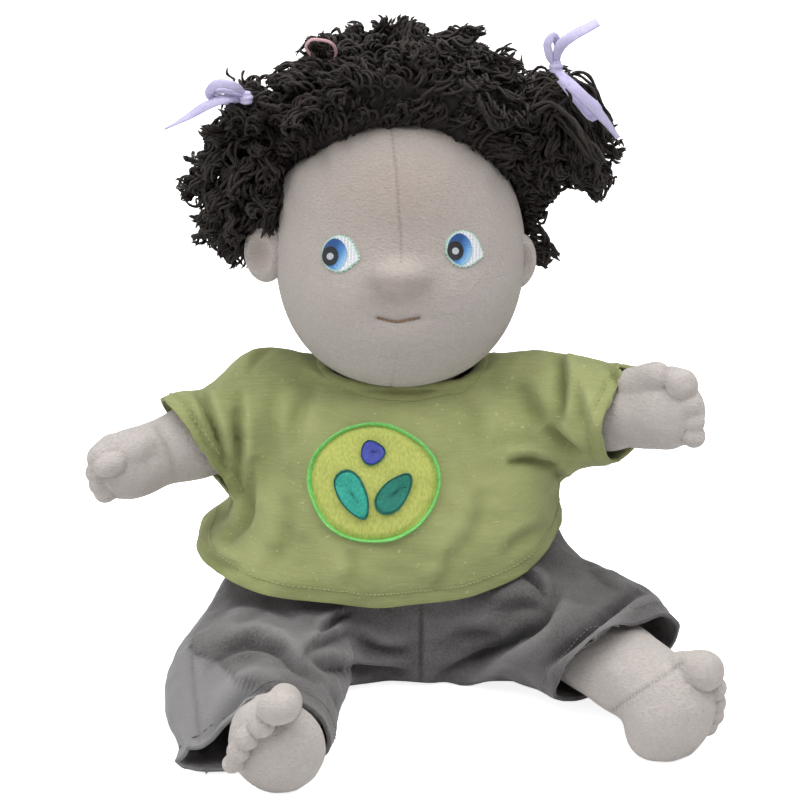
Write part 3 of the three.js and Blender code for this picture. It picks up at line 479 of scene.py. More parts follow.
class Look:
    """A node material that is written from its inputs to its shader."""

    def __init__(self, name):
        self.material = bpy.data.materials.new(name)
        self.material.use_nodes = True
        self.tree = self.material.node_tree
        self.shader = self.tree.nodes["Principled BSDF"]
        self.place = self.add("ShaderNodeTexCoord").outputs["Object"]

    def add(self, kind, inputs=None, **settings):
        """A node with its settings; an input takes a value, a written colour or another node's output."""
        node = self.tree.nodes.new(kind)
        for key, value in settings.items():
            setattr(node, key, value)
        for key, value in (inputs or {}).items():
            if isinstance(value, bpy.types.NodeSocket):
                self.tree.links.new(value, node.inputs[key])
            else:
                node.inputs[key].default_value = rgb(value) if isinstance(value, str) else value
        return node

    def noise(self, size, stretch=(1, 1, 1), detail=2.0, rough=0.5):
        """Noise whose grains are about size millimetres, longer along an axis with a stretch above 1."""
        scale = [1000 / size / s for s in stretch]
        place = self.add("ShaderNodeMapping", {"Vector": self.place, "Scale": scale}).outputs[0]
        return self.add(
            "ShaderNodeTexNoise", {"Vector": place, "Scale": 1.0, "Detail": detail, "Roughness": rough}
        ).outputs[0]

    def attribute(self, name, kind="Fac"):
        return self.add("ShaderNodeAttribute", attribute_name=name).outputs[kind]

    def ramp(self, value, stops):
        node = self.add("ShaderNodeValToRGB", {"Fac": value})
        elements = node.color_ramp.elements
        while len(elements) < len(stops):
            elements.new(0.5)
        for element, (at, colour) in zip(elements, stops):
            element.position = at
            element.color = rgb(colour) if isinstance(colour, str) else (colour, colour, colour, 1)
        return node.outputs[0]

    def mix(self, share, a, b, blend="MIX"):
        node = self.add("ShaderNodeMix", {0: share, 6: a, 7: b}, data_type="RGBA", blend_type=blend)
        return node.outputs[2]

    def math(self, kind, a, b=0.0, clamp=False):
        return self.add("ShaderNodeMath", {0: a, 1: b}, operation=kind, use_clamp=clamp).outputs[0]

    def toned(self, colour, name, share, tone):
        """The colour, drawn towards a tone where the piece's named layer is high."""
        return self.mix(self.math("MULTIPLY", self.attribute(name), share), colour, tone)

    def finish(self, colour, bumps=(), **shader):
        self.tree.links.new(colour, self.shader.inputs["Base Color"])
        normal = None
        for height, depth in bumps:
            inputs = {"Height": height, "Distance": depth / 1000, "Strength": 1.0}
            if normal:
                inputs["Normal"] = normal
            normal = self.add("ShaderNodeBump", inputs).outputs[0]
        if normal:
            self.tree.links.new(normal, self.shader.inputs["Normal"])
        for key, value in shader.items():
            self.shader.inputs[key.replace("_", " ")].default_value = value
        return self.material


def skin_look():
    look = Look("skin_velour")
    pile = look.noise(1.05, (1.5, 1.5, 0.8), 3, 0.6)
    fine = look.noise(0.5, (1.3, 1.3, 0.9), 2, 0.6)
    broad = look.noise(26, detail=2)
    colour = look.mix(broad, "bbb3ae", "c5bdb8")
    colour = look.mix(look.ramp(pile, [(0.36, 0.0), (0.66, 0.45)]), colour, "d6d0cd")
    # painted shadow of the hair: this layer warms the whole head a little and darkens the upper face much
    # more
    colour = look.toned(colour, "tan_and_hair_shade", 0.62, "8f7d70")
    # the seam layer darkens stitched seams, and also paints shade into the grooves between fingers and toes
    # and into the ears' dishes
    colour = look.toned(colour, "seam", 0.75, "5f544c")
    # this layer pinks the nose, and paints shade in the ears' dishes
    colour = look.toned(colour, "blush_and_ear_shade", 0.3, "b3958c")
    return look.finish(
        colour, [(pile, 0.9), (fine, 0.45)], Roughness=0.95, Specular_IOR_Level=0.12, Sheen_Weight=0.2,
        Sheen_Roughness=0.5,
    )


def painted_fold_shading(look, colour, dark, light):
    """Painted shade in a fold's bottom, and a painted highlight along its top."""
    fold = look.attribute("fold")
    colour = look.mix(look.math("MULTIPLY", fold, -0.6, clamp=True), colour, dark)
    return look.mix(look.math("MULTIPLY", fold, 0.55, clamp=True), colour, light)


def jersey_look(name="shirt_jersey", dark="8b9161", light="a2a771"):
    look = Look(name)
    slub = look.noise(0.7, (10, 10, 0.7), 3, 0.55)
    knit = look.noise(0.5, (1.2, 1.2, 0.8), 2, 0.5)
    pills = look.noise(1.6, (1.2, 1.2, 1), 1, 0.4)
    broad = look.noise(34, detail=3)
    colour = look.mix(look.ramp(broad, [(0.3, 0.0), (0.7, 1.0)]), dark, light)
    colour = look.mix(look.ramp(slub, [(0.42, 0.0), (0.75, 0.3)]), colour, "b4b784")
    colour = look.mix(look.ramp(pills, [(0.7, 0.0), (0.78, 0.5)]), colour, "c6c89c")
    # painted shade and highlight along the creases
    colour = painted_fold_shading(look, colour, "686d42", "b6ba88")
    # the seam layer darkens the hem's stitch line and paints shade along the turned edges of hem and cuffs
    colour = look.toned(colour, "seam", 0.6, "5d6238")
    return look.finish(
        colour, [(slub, 0.08), (knit, 0.16), (pills, 0.2)], Roughness=0.9, Specular_IOR_Level=0.15,
        Sheen_Weight=0.15, Sheen_Roughness=0.5,
    )


def trouser_look():
    look = Look("trouser_velour")
    pile = look.noise(0.8, (1, 1, 1.4), 3, 0.65)
    nap = look.noise(20, (1.6, 1, 0.8), 4, 0.55)
    colour = look.mix(look.ramp(nap, [(0.35, 0.0), (0.65, 1.0)]), "565353", "706d6e")
    colour = look.mix(look.ramp(pile, [(0.4, 0.0), (0.75, 0.55)]), colour, "8a8787")
    colour = look.toned(colour, "panel", 0.6, "959495")
    # painted shade and highlight along the creases
    colour = painted_fold_shading(look, colour, "2c2a2a", "a19f9f")
    colour = look.toned(colour, "seam", 0.7, "353232")
    return look.finish(
        colour, [(nap, 0.4), (pile, 0.4)], Roughness=0.9, Specular_IOR_Level=0.12, Sheen_Weight=0.35,
        Sheen_Roughness=0.4,
    )


def yarn_look():
    look = Look("hair_yarn")
    fibre = look.noise(0.5, detail=3, rough=0.7)
    clump = look.noise(9, detail=2)
    colour = look.mix(look.ramp(clump, [(0.35, 0.0), (0.65, 1.0)]), "120d0b", "201814")
    colour = look.toned(colour, "tint", 0.5, "32261f")
    colour = look.mix(look.ramp(fibre, [(0.6, 0.0), (0.85, 0.4)]), colour, "46382e")
    return look.finish(
        colour, [(fibre, 0.3)], Roughness=0.6, Specular_IOR_Level=0.3, Sheen_Weight=0.05, Sheen_Roughness=0.4
    )


def thread_look(name, colour_a, colour_b, size=0.5, painted=False, shine=0.45):
    """Embroidery thread; where painted, the piece's own colour layer leads."""
    look = Look(name)
    fibre = look.noise(size, (1, 1, 2.5), 2)
    if painted:
        base = look.attribute("paint", "Color")
        colour = look.mix(0.5, base, look.ramp(fibre, [(0.3, 0.55), (0.7, 1.0)]), "MULTIPLY")
    else:
        colour = look.mix(look.ramp(fibre, [(0.3, 0.0), (0.7, 1.0)]), colour_a, colour_b)
    return look.finish(
        colour, [(fibre, 0.12)], Roughness=shine, Specular_IOR_Level=0.4, Sheen_Weight=0.15,
        Sheen_Roughness=0.4,
    )


def satin_look():
    look = Look("ribbon_satin")
    weave = look.noise(0.35, (1, 4, 4), 2)
    broad = look.noise(7, detail=2)
    colour = look.mix(broad, "a79ecb", "cbc5e6")
    colour = look.mix(look.ramp(weave, [(0.4, 0.0), (0.8, 0.4)]), colour, "e6e3f6")
    return look.finish(
        colour, [(weave, 0.05)], Roughness=0.28, Specular_IOR_Level=0.6, Sheen_Weight=0.2, Sheen_Roughness=0.3
    )


# Floor and light
LIGHTS = {  # place and size in metres, watts
    "key": ((-0.95, -0.45, 0.7), 0.8, 4.0),
    "fill": ((0.75, -0.35, 1.05), 0.9, 4.0),
    "top": ((0.0, -0.05, 1.45), 2.2, 34.0),
}
LIT_PLACE = (0, 0, 0.12)
FLOOR_GLOW = 0.85  # seen by the camera alone, so that the paper is white and keeps the shadow
ROOM_LIGHT = 0.12
FLOOR_HALF = 6000


def make_floor():
    look = Look("floor_paper")
    colour = look.mix(look.noise(40, detail=2), "f2f2f2", "f7f7f7")
    material = look.finish(colour, Roughness=0.9, Specular_IOR_Level=0.1)
    plain = look.shader.outputs[0]
    links = look.tree.links
    glow = look.add("ShaderNodeEmission", {"Color": (1, 1, 1, 1), "Strength": FLOOR_GLOW}).outputs[0]
    both = look.add("ShaderNodeAddShader", {0: plain, 1: glow}).outputs[0]
    ray = look.add("ShaderNodeLightPath").outputs["Is Camera Ray"]
    pick = look.add("ShaderNodeMixShader", {"Fac": ray, 1: plain, 2: both}).outputs[0]
    links.new(pick, look.tree.nodes["Material Output"].inputs["Surface"])
    corners = np.array([[-1, -1, 0], [1, -1, 0], [1, 1, 0], [-1, 1, 0]]) * FLOOR_HALF + [0, 0, -0.05]
    piece("floor", corners, np.array([[0, 1, 2, 3]]), material, None)


def make_world():
    """Soft light from all round, and white where the camera or a clear ray sees it."""
    world = bpy.data.worlds.new("studio")
    bpy.context.scene.world = world
    world.use_nodes = True
    nodes, links = world.node_tree.nodes, world.node_tree.links
    nodes.clear()
    path = nodes.new("ShaderNodeLightPath")
    seen_by = path.outputs["Is Camera Ray"]
    for ray in ("Is Glossy Ray", "Is Transmission Ray"):
        both = nodes.new("ShaderNodeMath")
        both.operation = "MAXIMUM"
        links.new(seen_by, both.inputs[0])
        links.new(path.outputs[ray], both.inputs[1])
        seen_by = both.outputs[0]
    pick = nodes.new("ShaderNodeMixShader")
    links.new(seen_by, pick.inputs[0])
    for socket, strength in ((1, ROOM_LIGHT), (2, 1.0)):
        room = nodes.new("ShaderNodeBackground")
        room.inputs["Color"].default_value = (1, 1, 1, 1)
        room.inputs["Strength"].default_value = strength
        links.new(room.outputs[0], pick.inputs[socket])
    links.new(pick.outputs[0], nodes.new("ShaderNodeOutputWorld").inputs[0])


def make_lights():
    for name, (place, size, watts) in LIGHTS.items():
        lamp = bpy.data.lights.new(name, "AREA")
        lamp.size = size
        lamp.energy = watts
        obj = bpy.data.objects.new(name, lamp)
        bpy.context.scene.collection.objects.link(obj)
        obj.location = place
        obj.rotation_euler = (Vector(LIT_PLACE) - Vector(place)).to_track_quat("-Z", "Y").to_euler()


# Head
LEAN = turned(0, -HEAD_LEAN)
FACE_SEAM = [(391, 118), (392, 135), (396, 171), (398, 202), (401, 240), (401, 262)]
CHIN_SEAM = [(398, 352), (394, 372), (389, 390)]
MOUTH = [(377, 318), (383, 319.5), (390, 321), (398, 322), (406, 320.5), (412, 319.5), (420, 318)]
EYES = {"right": (339.5, 253.5), "left": (463.5, 248.5)}
FACE_MM_PER_PX = 0.395
HEAD_COLUMNS, HEAD_ROWS = 460, 250
HEAD_BUMPS = [  # way from the centre, height and half width in degrees, the same on both sides
    ((0.24, -1, -0.03), 1.2, 14),
    ((0.62, -1, -0.42), 3.0, 27),
    ((0, -0.8, -0.95), 2.0, 26),
    ((0.42, -1, 0.2), -1.4, 15),
]
FACE_FORMS = [  # column, row, half width, half height, lift in millimetres
    (401, 272, 11, 9, 0.7), (398, 306, 18, 10, -0.8), (350, 300, 26, 24, 1.0), (450, 298, 26, 24, 1.0),
    (398, 338, 34, 13, 1.2), (398, 319, 24, 4.5, -0.9), (399, 236, 26, 22, -0.8), (340, 262, 22, 20, -1.1),
    (462, 258, 22, 20, -1.1), (322, 158, 5, 16, -1.2), (334, 146, 5, 14, 0.9), (346, 142, 4, 12, -1.0),
    (499, 178, 7, 17, -1.4), (487, 168, 7, 16, 0.7), (368, 133, 5, 9, -0.6), (440, 135, 5, 9, -0.6),
    (296, 190, 6, 16, -0.8),
]
NOSE = (401, 275)
NOSE_LIFT = 7.6
NOSE_FULLNESS = 1.9
TEMPLE = (290, 172, 24, 30)
# the upper face that the hair's painted shadow darkens: column, row, half width, half height
TAN_AND_HAIR_SHADE = (400, 190, 110, 75)
BLUSH = (401, 283, 30, 16)


def spot(u, v, at_u, at_v, wide, tall):
    """1 at a pixel, fading to 0 round it."""
    return np.exp(-(((u - at_u) / wide) ** 2) - ((v - at_v) / tall) ** 2)


def head_surface(way):
    """Points of the head along unit directions from its centre, given before it leans."""
    x, y, z = (way / HEAD_SIZE).T
    power = np.where(z < 0, HEAD_POWER, 2)
    radius = (np.hypot(x, y) ** power + np.abs(z) ** power) ** (-1 / power)
    for (bx, by, bz), size, wide in HEAD_BUMPS:
        for side in (1, -1) if bx else (1,):
            away = np.arccos(np.clip(way @ unit([side * bx, by, bz]), -1, 1))
            radius += size * np.exp(-((away / math.radians(wide)) ** 2))
    points = (way * radius[:, None]) @ LEAN.T + HEAD_CENTRE
    u, v = pixel(points)
    # the nose is wide at its foot, and narrows under it
    wide = np.maximum(18.5 - 0.6 * np.maximum(v - NOSE[1] - 2, 0), 8)
    nose = spot(u, v, *NOSE, wide, np.where(v < NOSE[1], 11.0, 10.0))
    lift = NOSE_LIFT * np.tanh(NOSE_FULLNESS * nose) / math.tanh(NOSE_FULLNESS)
    for *form, height in FACE_FORMS:
        lift += height * spot(u, v, *form)
    front = smoothstep(-way[:, 1], 0.1, 0.5)
    return points + (way @ LEAN.T) * (lift * front)[:, None]


def pressed_line(points, line, width, depth, centre):
    """Presses a thin line of pixels into a skin, towards centre. Returns the points and how near each is."""
    u, v = pixel(points)
    fine = spline(line, 160)
    lo, hi = fine.min(0) - 6, fine.max(0) + 6
    near = (u > lo[0]) & (u < hi[0]) & (v > lo[1]) & (v < hi[1]) & (points[:, 1] < centre[1])
    gap = np.full(len(points), 99.0)
    index = np.nonzero(near)[0]
    for part in np.array_split(index, max(1, len(index) // 4000)):
        d = np.hypot(u[part, None] - fine[:, 0], v[part, None] - fine[:, 1])
        gap[part] = d.min(1)
    share = np.exp(-((gap / width) ** 2))
    return points - unit(points - centre) * (share * depth)[:, None], share


def make_head(skin):
    turn = np.linspace(0, 1, HEAD_COLUMNS, endpoint=False)
    turn = turn + 0.1 * np.sin(2 * math.pi * turn)  # closer columns in front
    azimuth = 2 * math.pi * turn + math.pi / 2
    way, quads, faces = ball(azimuth, np.linspace(0.02, math.pi - 0.02, HEAD_ROWS))
    points = head_surface(way)
    points, seam = pressed_line(points, FACE_SEAM, 1.5, 0.4, HEAD_CENTRE)
    points, chin = pressed_line(points, CHIN_SEAM, 1.5, 0.3, HEAD_CENTRE)
    points, mouth = pressed_line(points, MOUTH, 2.4, 0.8, HEAD_CENTRE)
    u, v = pixel(points)
    points[:, 0] -= 4.0 * spot(u, v, *TEMPLE)
    stitch = 0.45 + 0.55 * np.sin(v * 2 * math.pi / 4.2)
    marks = np.clip(seam * (0.12 + 0.38 * stitch) + 0.2 * chin * stitch + 0.15 * mouth, 0, 1)
    # the last layer warms the head a little and paints the hair's shadow over the upper face
    flags = {"seam": marks, "blush_and_ear_shade": 0.5 * spot(u, v, *BLUSH), "tan_and_hair_shade": 0.55 * spot(u, v, *TAN_AND_HAIR_SHADE) + 0.25}
    head = piece("head_velour", points, faces, skin, "head", ["head"], flags=flags)
    return points, quads


def make_ears(skin):
    for name, s in SIDES.items():
        azimuth = np.linspace(0, 2 * math.pi, 72, endpoint=False)
        way, _, faces = ball(azimuth, np.linspace(0.03, math.pi - 0.03, 48))
        p = way * [9.0, 4.6, 12.2]
        dish = np.exp(-((p[:, 0] - s * 1.0) / 4.6) ** 2 - ((p[:, 2] - 0.5) / 7.0) ** 2)
        p[:, 1] += np.where(way[:, 1] < 0, 3.4, 0.8) * dish
        fold = np.exp(-((np.hypot((p[:, 0] - s * 1.0) / 5.6, p[:, 2] / 8.4) - 1) / 0.25) ** 2)
        p[:, 1] -= np.where(way[:, 1] < 0, 0.7, 0) * fold
        p = p @ turned(2, s * 18).T + EAR_AT[name]
        # painted shade in the ear's dish: darker through the seam layer, pinker through the other
        blush_and_ear_shade = np.clip(dish, 0, 1) * 0.9
        ear = piece(
            f"{name}_ear_velour", p, faces, skin, "head", [f"{name}_ear"],
            flags={"seam": 0.25 * dish, "blush_and_ear_shade": blush_and_ear_shade},
        )


def tree_of(points, faces):
    return BVHTree.FromPolygons([tuple(p) for p in points], [tuple(int(i) for i in f) for f in faces])


def onto(tree, points, way, lift):
    """Moves points along way until they lie on the mesh, then lifts them off it by lift."""
    way = Vector(way)
    out = []
    for p, up in zip(points, np.broadcast_to(lift, len(points))):
        start = Vector(p) - way * 80
        hit, normal, _, _ = tree.ray_cast(start, way)
        if hit is None:
            hit, normal, _, _ = tree.find_nearest(Vector(p))
        if normal.dot(way) > 0:
            normal = -normal
        out.append(np.array(hit + normal * up))
    return np.array(out)


def laid_flat(tree, centre, flat, scale, height):
    """Points across and up in pixels from a centre, laid on a mesh as the camera sees them."""
    right = np.array([1.0, 0, 0])
    up = np.cross(right, -CAMERA_WAY)
    spots = centre + (flat[:, :1] * right + flat[:, 1:] * up) * scale
    return onto(tree, spots, -CAMERA_WAY, height)


EYE_RINGS, EYE_SPOKES = 60, 192
EYE_THREADS = {
    name: np.array(rgb(code)[:3])
    for name, code in {
        "deep": "21508f", "mid": "4f8fd0", "pale": "a9d3ec", "white": "eef1f6", "line": "3c5f8c",
        "mint": "c7e0d2", "dot": "28505e", "black": "0b0d14", "glint": "c9ced6",
    }.items()
}


def eye_pattern():
    """Places in pixels, colours and heights of an eye's rows of satin stitch."""
    angle = np.arange(EYE_SPOKES) / EYE_SPOKES * 2 * math.pi
    c, s = np.cos(angle), np.sin(angle)
    # the outline is round, drawn out to a corner at the lower right
    corner = np.exp(-(((angle - (2 * math.pi - 0.22) + math.pi) % (2 * math.pi) - math.pi) / 0.33) ** 2)
    wide = np.where(c < 0, 19.0, 18.0)
    rim = np.stack([c * (wide + 3.6 * corner), s * np.where(s > 0, 19.6, 19.0)], -1)
    rim[:, 1] -= 2.0 * corner
    share = np.linspace(0, 1, EYE_RINGS + 1)[1:] ** 0.8
    flat = np.concatenate([[[0.0, 0.0]], (share[:, None, None] * rim).reshape(-1, 2)])
    level = np.concatenate([[0.0], np.repeat(share, EYE_SPOKES)])
    x, y = flat.T
    stitches = 0.5 + 0.5 * np.sin(np.arctan2(y - 2, x + 7) * 46 + 1.5 * np.sin(x * 0.9))
    pupil = np.hypot((x + 8.8) / 8.4, (y + 1.6) / 10.0)
    iris = np.hypot((x + 5.4) / 13.6, (y + 0.6) / 16.6)
    glint = np.hypot(x + 8.8, y + 2.0) / 3.5
    height = 0.35 + 0.35 * smoothstep(1 - level, 0, 0.12) + 0.14 * stitches
    height += 0.15 * (pupil < 1) + 0.15 * smoothstep(1.1 - glint, 0, 0.3)
    height = np.where(level > 0.995, -0.15, height)

    columns = (x, y, level, stitches, pupil, iris, glint)
    x, y, level, stitches, pupil, iris, glint = (column[:, None] for column in columns)
    thread = EYE_THREADS
    fade = np.clip((x + 8 - 0.55 * y) / 19, 0, 1)
    low = thread["deep"] + (thread["mid"] - thread["deep"]) * fade * 2
    colour = np.where(fade < 0.5, low, thread["mid"] + (thread["pale"] - thread["mid"]) * (fade * 2 - 1))
    colour = colour * (0.82 + 0.36 * stitches)
    colour = np.where(iris > 1, thread["white"] * (0.9 + 0.12 * np.sin(x * 1.9)), colour)
    line = np.exp(-(((iris - 1.0) / 0.05) ** 2)) * (stitches > 0.45)
    colour = colour + (thread["line"] - colour) * 0.6 * line
    colour = colour + (thread["mint"] * (0.85 + 0.22 * stitches) - colour) * smoothstep(level, 0.86, 0.9)
    colour = np.where((level > 0.93) & (stitches > 0.55), colour * 0.35 + thread["dot"] * 0.4, colour)
    colour = np.where(pupil < 1, thread["black"] * (0.8 + 0.8 * stitches), colour)
    return flat, np.where(glint < 1, thread["glint"], colour), height


def make_eyes(tree):
    """Each eye is one embroidered patch, coloured by where its stitches lie in the eye."""
    look = thread_look("eye_thread", "ffffff", "ffffff", 0.45, painted=True, shine=0.5)
    flat, colour, height = eye_pattern()
    faces = [(0, 1 + i, 1 + (i + 1) % EYE_SPOKES) for i in range(EYE_SPOKES)]
    faces += [tuple(q) for q in 1 + grid_quads(EYE_RINGS, EYE_SPOKES)]
    for name, (u, v) in EYES.items():
        points = laid_flat(tree, at_pixel(u, v, -42), flat, FACE_MM_PER_PX, height)
        nodes = [f"{name}_eye_border", f"{name}_eye_white", f"{name}_iris", f"{name}_pupil"]
        embroidery = f"{name}_eye_embroidery"
        piece(embroidery, points, faces, look, "head", nodes, flags={"paint": colour})


def make_mouth(tree):
    look = thread_look("mouth_thread", "6a5340", "8d745f", 0.4)
    line = spline(MOUTH, 60)
    spots = np.array([at_pixel(u, v, -45) for u, v in line])
    t = np.linspace(0, 1, 60)
    radius = 0.34 * (0.35 + 0.65 * np.sin(math.pi * t) ** 0.5) * (1 + 0.25 * np.sin(t * 60))
    paths = []
    for k in (-1, 0, 1):
        twist = np.stack([0 * t, 0 * t, 0.28 * np.sin(t * 42 + 2.1 * k)], -1)
        paths.append(onto(tree, spots + twist, -CAMERA_WAY, 0.1 + 0.12 * np.cos(t * 42 + 2.1 * k)))
    points, faces = tubes(np.array(paths), radius, 8)
    piece("mouth_stitch", points, faces, look, "head", ["mouth_thread"])


# Hair
def hair_line(points):
    """How far points lie behind the line along which the hair starts."""
    x, y, z = points.T
    angle = math.radians(9)
    side = np.abs(x)
    back = y * math.cos(angle) + (z - 180) * math.sin(angle)
    start = 13 * smoothstep(side, 34, 60) - 3 + 7.0 * np.exp(-(((x + 50) / 15) ** 2))
    start = np.where(side > 62, 23.5 + (side - 62) * 0.22, start)
    return back - start


def hair_foot(points):
    """How low the hair reaches: to the nape behind the head, and to the ears at its sides."""
    return 156 + 17 * smoothstep(np.abs(points[:, 0]), 30, 50)


def make_scalp(yarn):
    """The knitted scalp under the curls, a little over the head."""
    def scalp(p):
        cap = egg(p, HAIR_MIDDLE, np.eye(3), HAIR_SIZE - 9)
        for centre, size in (((62, 14, 226), (13, 14, 20)), ((-61, 12, 210), (13, 14, 24))):
            cap = join(cap, egg(p, centre, np.eye(3), size), 8)
        skull = egg(p, HEAD_CENTRE, LEAN.T, HEAD_SIZE + 0.6)
        return np.maximum.reduce([cap, -skull, 3.5 - hair_line(p), hair_foot(p) - p[:, 2]])

    points, faces = surface(scalp, (-90, -45, 146), (95, 75, 272), 2.6, polish=1, relax=2)
    points = points + normals_of(points, faces) * (1.2 * wobble(points, 9, 3))[:, None]
    nodes = ["hair_cap", "left_hair_bunch", "right_hair_bunch"]
    piece("scalp_yarn", points, faces, yarn, "head", nodes)


LOCK_STRANDS = 7
LOCK_CLOSENESS = 0.42  # share of the way to the lock's own line that a strand's end is drawn
CURL_RINGS, CURL_SIDES, CURLS_PER_PIECE = 24, 5, 800


def curl_paths(roots, out, flow, length, curl, pitch, rng):
    """Curly strands: each goes out of its root, bends over to its flow and winds round its own line.

    Neighbours make a lock: they share its way and its turns, and draw together towards their ends.
    """
    count = len(roots)
    heads = rng.choice(count, max(1, count // LOCK_STRANDS), replace=False)
    lock = np.argmin(((roots[:, None] - roots[None, heads]) ** 2).sum(-1), axis=1)
    out = unit(out[heads][lock] * 0.6 + out * 0.4)
    flow = unit(flow[heads][lock] + flow * 0.5)
    length = length[heads][lock] * 0.7 + length * 0.3
    pitch = pitch[heads][lock] * (1 + 0.05 * rng.normal(size=count))
    t = np.linspace(0, 1, CURL_RINGS)[None, :, None]
    lengths = length[:, None, None]
    bend = smoothstep(t, 0.05, 0.6)
    way = out[:, None] * (1 - bend) + flow[:, None] * bend
    step = unit(way) * lengths / (CURL_RINGS - 1)
    line = roots[:, None] + np.cumsum(step, axis=1) - step[:, :1]
    line = line + (line[heads][lock] - line) * LOCK_CLOSENESS * smoothstep(t, 0.1, 1.0)
    side = unit(np.cross(unit(way), rng.normal(size=(len(heads), 1, 3))[lock]))
    other = np.cross(unit(way), side)
    phase = rng.random((len(heads), 1, 1))[lock] * 2 * math.pi + rng.normal(size=(count, 1, 1)) * 1.1
    turns = 2 * math.pi * lengths / pitch[:, None, None]
    angle = turns * t + phase + 0.9 * np.sin(3.1 * t + phase)
    open_up = smoothstep(t, 0.0, 0.25)
    size = curl[:, None, None] * open_up * (0.8 + 0.35 * np.sin(7 * t + 2 * phase))
    return line + (side * np.cos(angle) + other * np.sin(angle)) * size


def shell_points(count, rng):
    """Even random roots over the scalp's outside, with the way out of it."""
    way = unit(rng.normal(size=(count * 5, 3)))
    points = HAIR_MIDDLE + way * (1 / np.linalg.norm(way / (HAIR_SIZE - 11), axis=1))[:, None]
    keep = (hair_line(points) > 1.5) & (points[:, 2] > hair_foot(points) + 5)
    points, way = points[keep][:count], way[keep][:count]
    return points, unit((points - HAIR_MIDDLE) / HAIR_SIZE**2)


BUNCHES = {  # middle, half sizes, tilt in degrees, way in which the curls fall
    "left": ((64, 14, 224), (11, 13, 21), -25, (0.35, -0.1, -0.95)),
    "right": ((-63, 12, 207), (13.5, 14, 24), 8, (-0.15, -0.1, -1.0)),
}


def crown_curls(rng):
    """All over the scalp, and falling to its sides."""
    roots, out = shell_points(3600, rng)
    side = np.sign(roots[:, 0] + rng.normal(size=len(roots)) * 6)[:, None] * np.array([[1.0, 0, 0]])
    forward = np.array([[0, -0.5, 0]]) * smoothstep(-roots[:, 1:2], -20, 15)
    flow = unit(side * 0.9 + np.array([[0, 0, -0.35]]) + forward + rng.normal(size=roots.shape) * 0.75)
    flow = unit(flow - out * np.minimum((flow * out).sum(1, keepdims=True), 0) * 1.1 + out * 0.18)
    return roots, out, flow, rng.uniform(11, 21, len(roots))


def hairline_curls(rng):
    """Short curls along the hairline, over the scalp's edge."""
    angle = np.linspace(-2.25, 2.25, 260) + rng.normal(size=260) * 0.02
    reach = np.linspace(30, 75, 60)
    edge = []
    for across, up in zip(np.sin(angle), np.cos(angle)):
        ring = np.stack([across * reach, np.zeros(60), 178 + up * reach], -1)
        best = None
        for y in np.linspace(-48, 40, 60):
            ring[:, 1] = y
            on = np.abs(egg(ring, HEAD_CENTRE, LEAN.T, HEAD_SIZE + 2.5))
            here = on + 2.0 * np.abs(hair_line(ring) - 4.5)
            k = int(np.argmin(here))
            if best is None or here[k] < best[0]:
                best = (here[k], ring[k].copy())
        edge.append(best[1])
    edge = np.array(edge)
    edge = edge[edge[:, 2] > 172]
    edge = np.repeat(edge, 5, axis=0) + rng.normal(size=(5 * len(edge), 3)) * [1.3, 1.2, 1.3]
    out = unit(edge - HEAD_CENTRE + [0, -8, 0])
    flow = unit(unit(edge - HEAD_CENTRE) * [1.2, 0.3, 1.0] + rng.normal(size=edge.shape) * 0.6)
    return edge, out, flow, rng.uniform(8, 15, len(edge))


def bunch_curls(name, rng):
    """All round a bunch, where it stands out of the scalp."""
    centre, size, tilt, fall = BUNCHES[name]
    way = unit(rng.normal(size=(1150, 3)))
    turn = turned(1, tilt)
    roots = (way * size) @ turn.T + centre
    out = unit((way / np.array(size)) @ turn.T)
    flow = unit(np.array([fall]) + out * 0.35 + rng.normal(size=roots.shape) * 0.6)
    keep = egg(roots, HAIR_MIDDLE, np.eye(3), HAIR_SIZE - 13) > 0
    return roots[keep], out[keep], flow[keep], rng.uniform(9, 18, keep.sum())


def left_fall(rng):
    """Longer strands that hang over the left bunch from its ribbon."""
    count = 420
    roots = np.array([57, 9, 241]) + rng.normal(size=(count, 3)) * [3.0, 6.0, 2.5]
    flow = unit(np.array([[0.5, -0.14, -0.85]]) + rng.normal(size=(count, 3)) * [0.16, 0.22, 0.12])
    out = unit(np.array([[0.75, 0, 0.45]]) + rng.normal(size=(count, 3)) * 0.3)
    return roots, out, flow, rng.uniform(22, 39, count)


def right_tuft(rng):
    """Short curls that hold the right ribbon."""
    count = 300
    roots = np.array([-57, 5, 236]) + rng.normal(size=(count, 3)) * [4.0, 5.5, 3.5]
    out = unit(np.array([[-0.5, -0.35, 0.6]]) + rng.normal(size=(count, 3)) * 0.5)
    flow = unit(np.array([[-0.7, -0.25, -0.25]]) + rng.normal(size=(count, 3)) * 0.5)
    return roots, out, flow, rng.uniform(8, 16, count)


def clear_curls(paths):
    """Which curls keep off the ears, the open arch under the left bunch and the place under the right one."""
    clear = np.ones(len(paths), bool)
    for ear in EAR_AT.values():
        clear &= (((paths - ear + [0, 0, 3.5]) / [12.5, 9, 11.5]) ** 2).sum(-1).min(1) > 1
    u, v = pixel(paths.reshape(-1, 3))
    arch = np.hypot((u - 574) / 27, (v - 224) / 34).reshape(paths.shape[:2])
    return clear & (arch.min(1) > 1) & ~((u < 300) & (v > 275)).reshape(arch.shape).any(1)


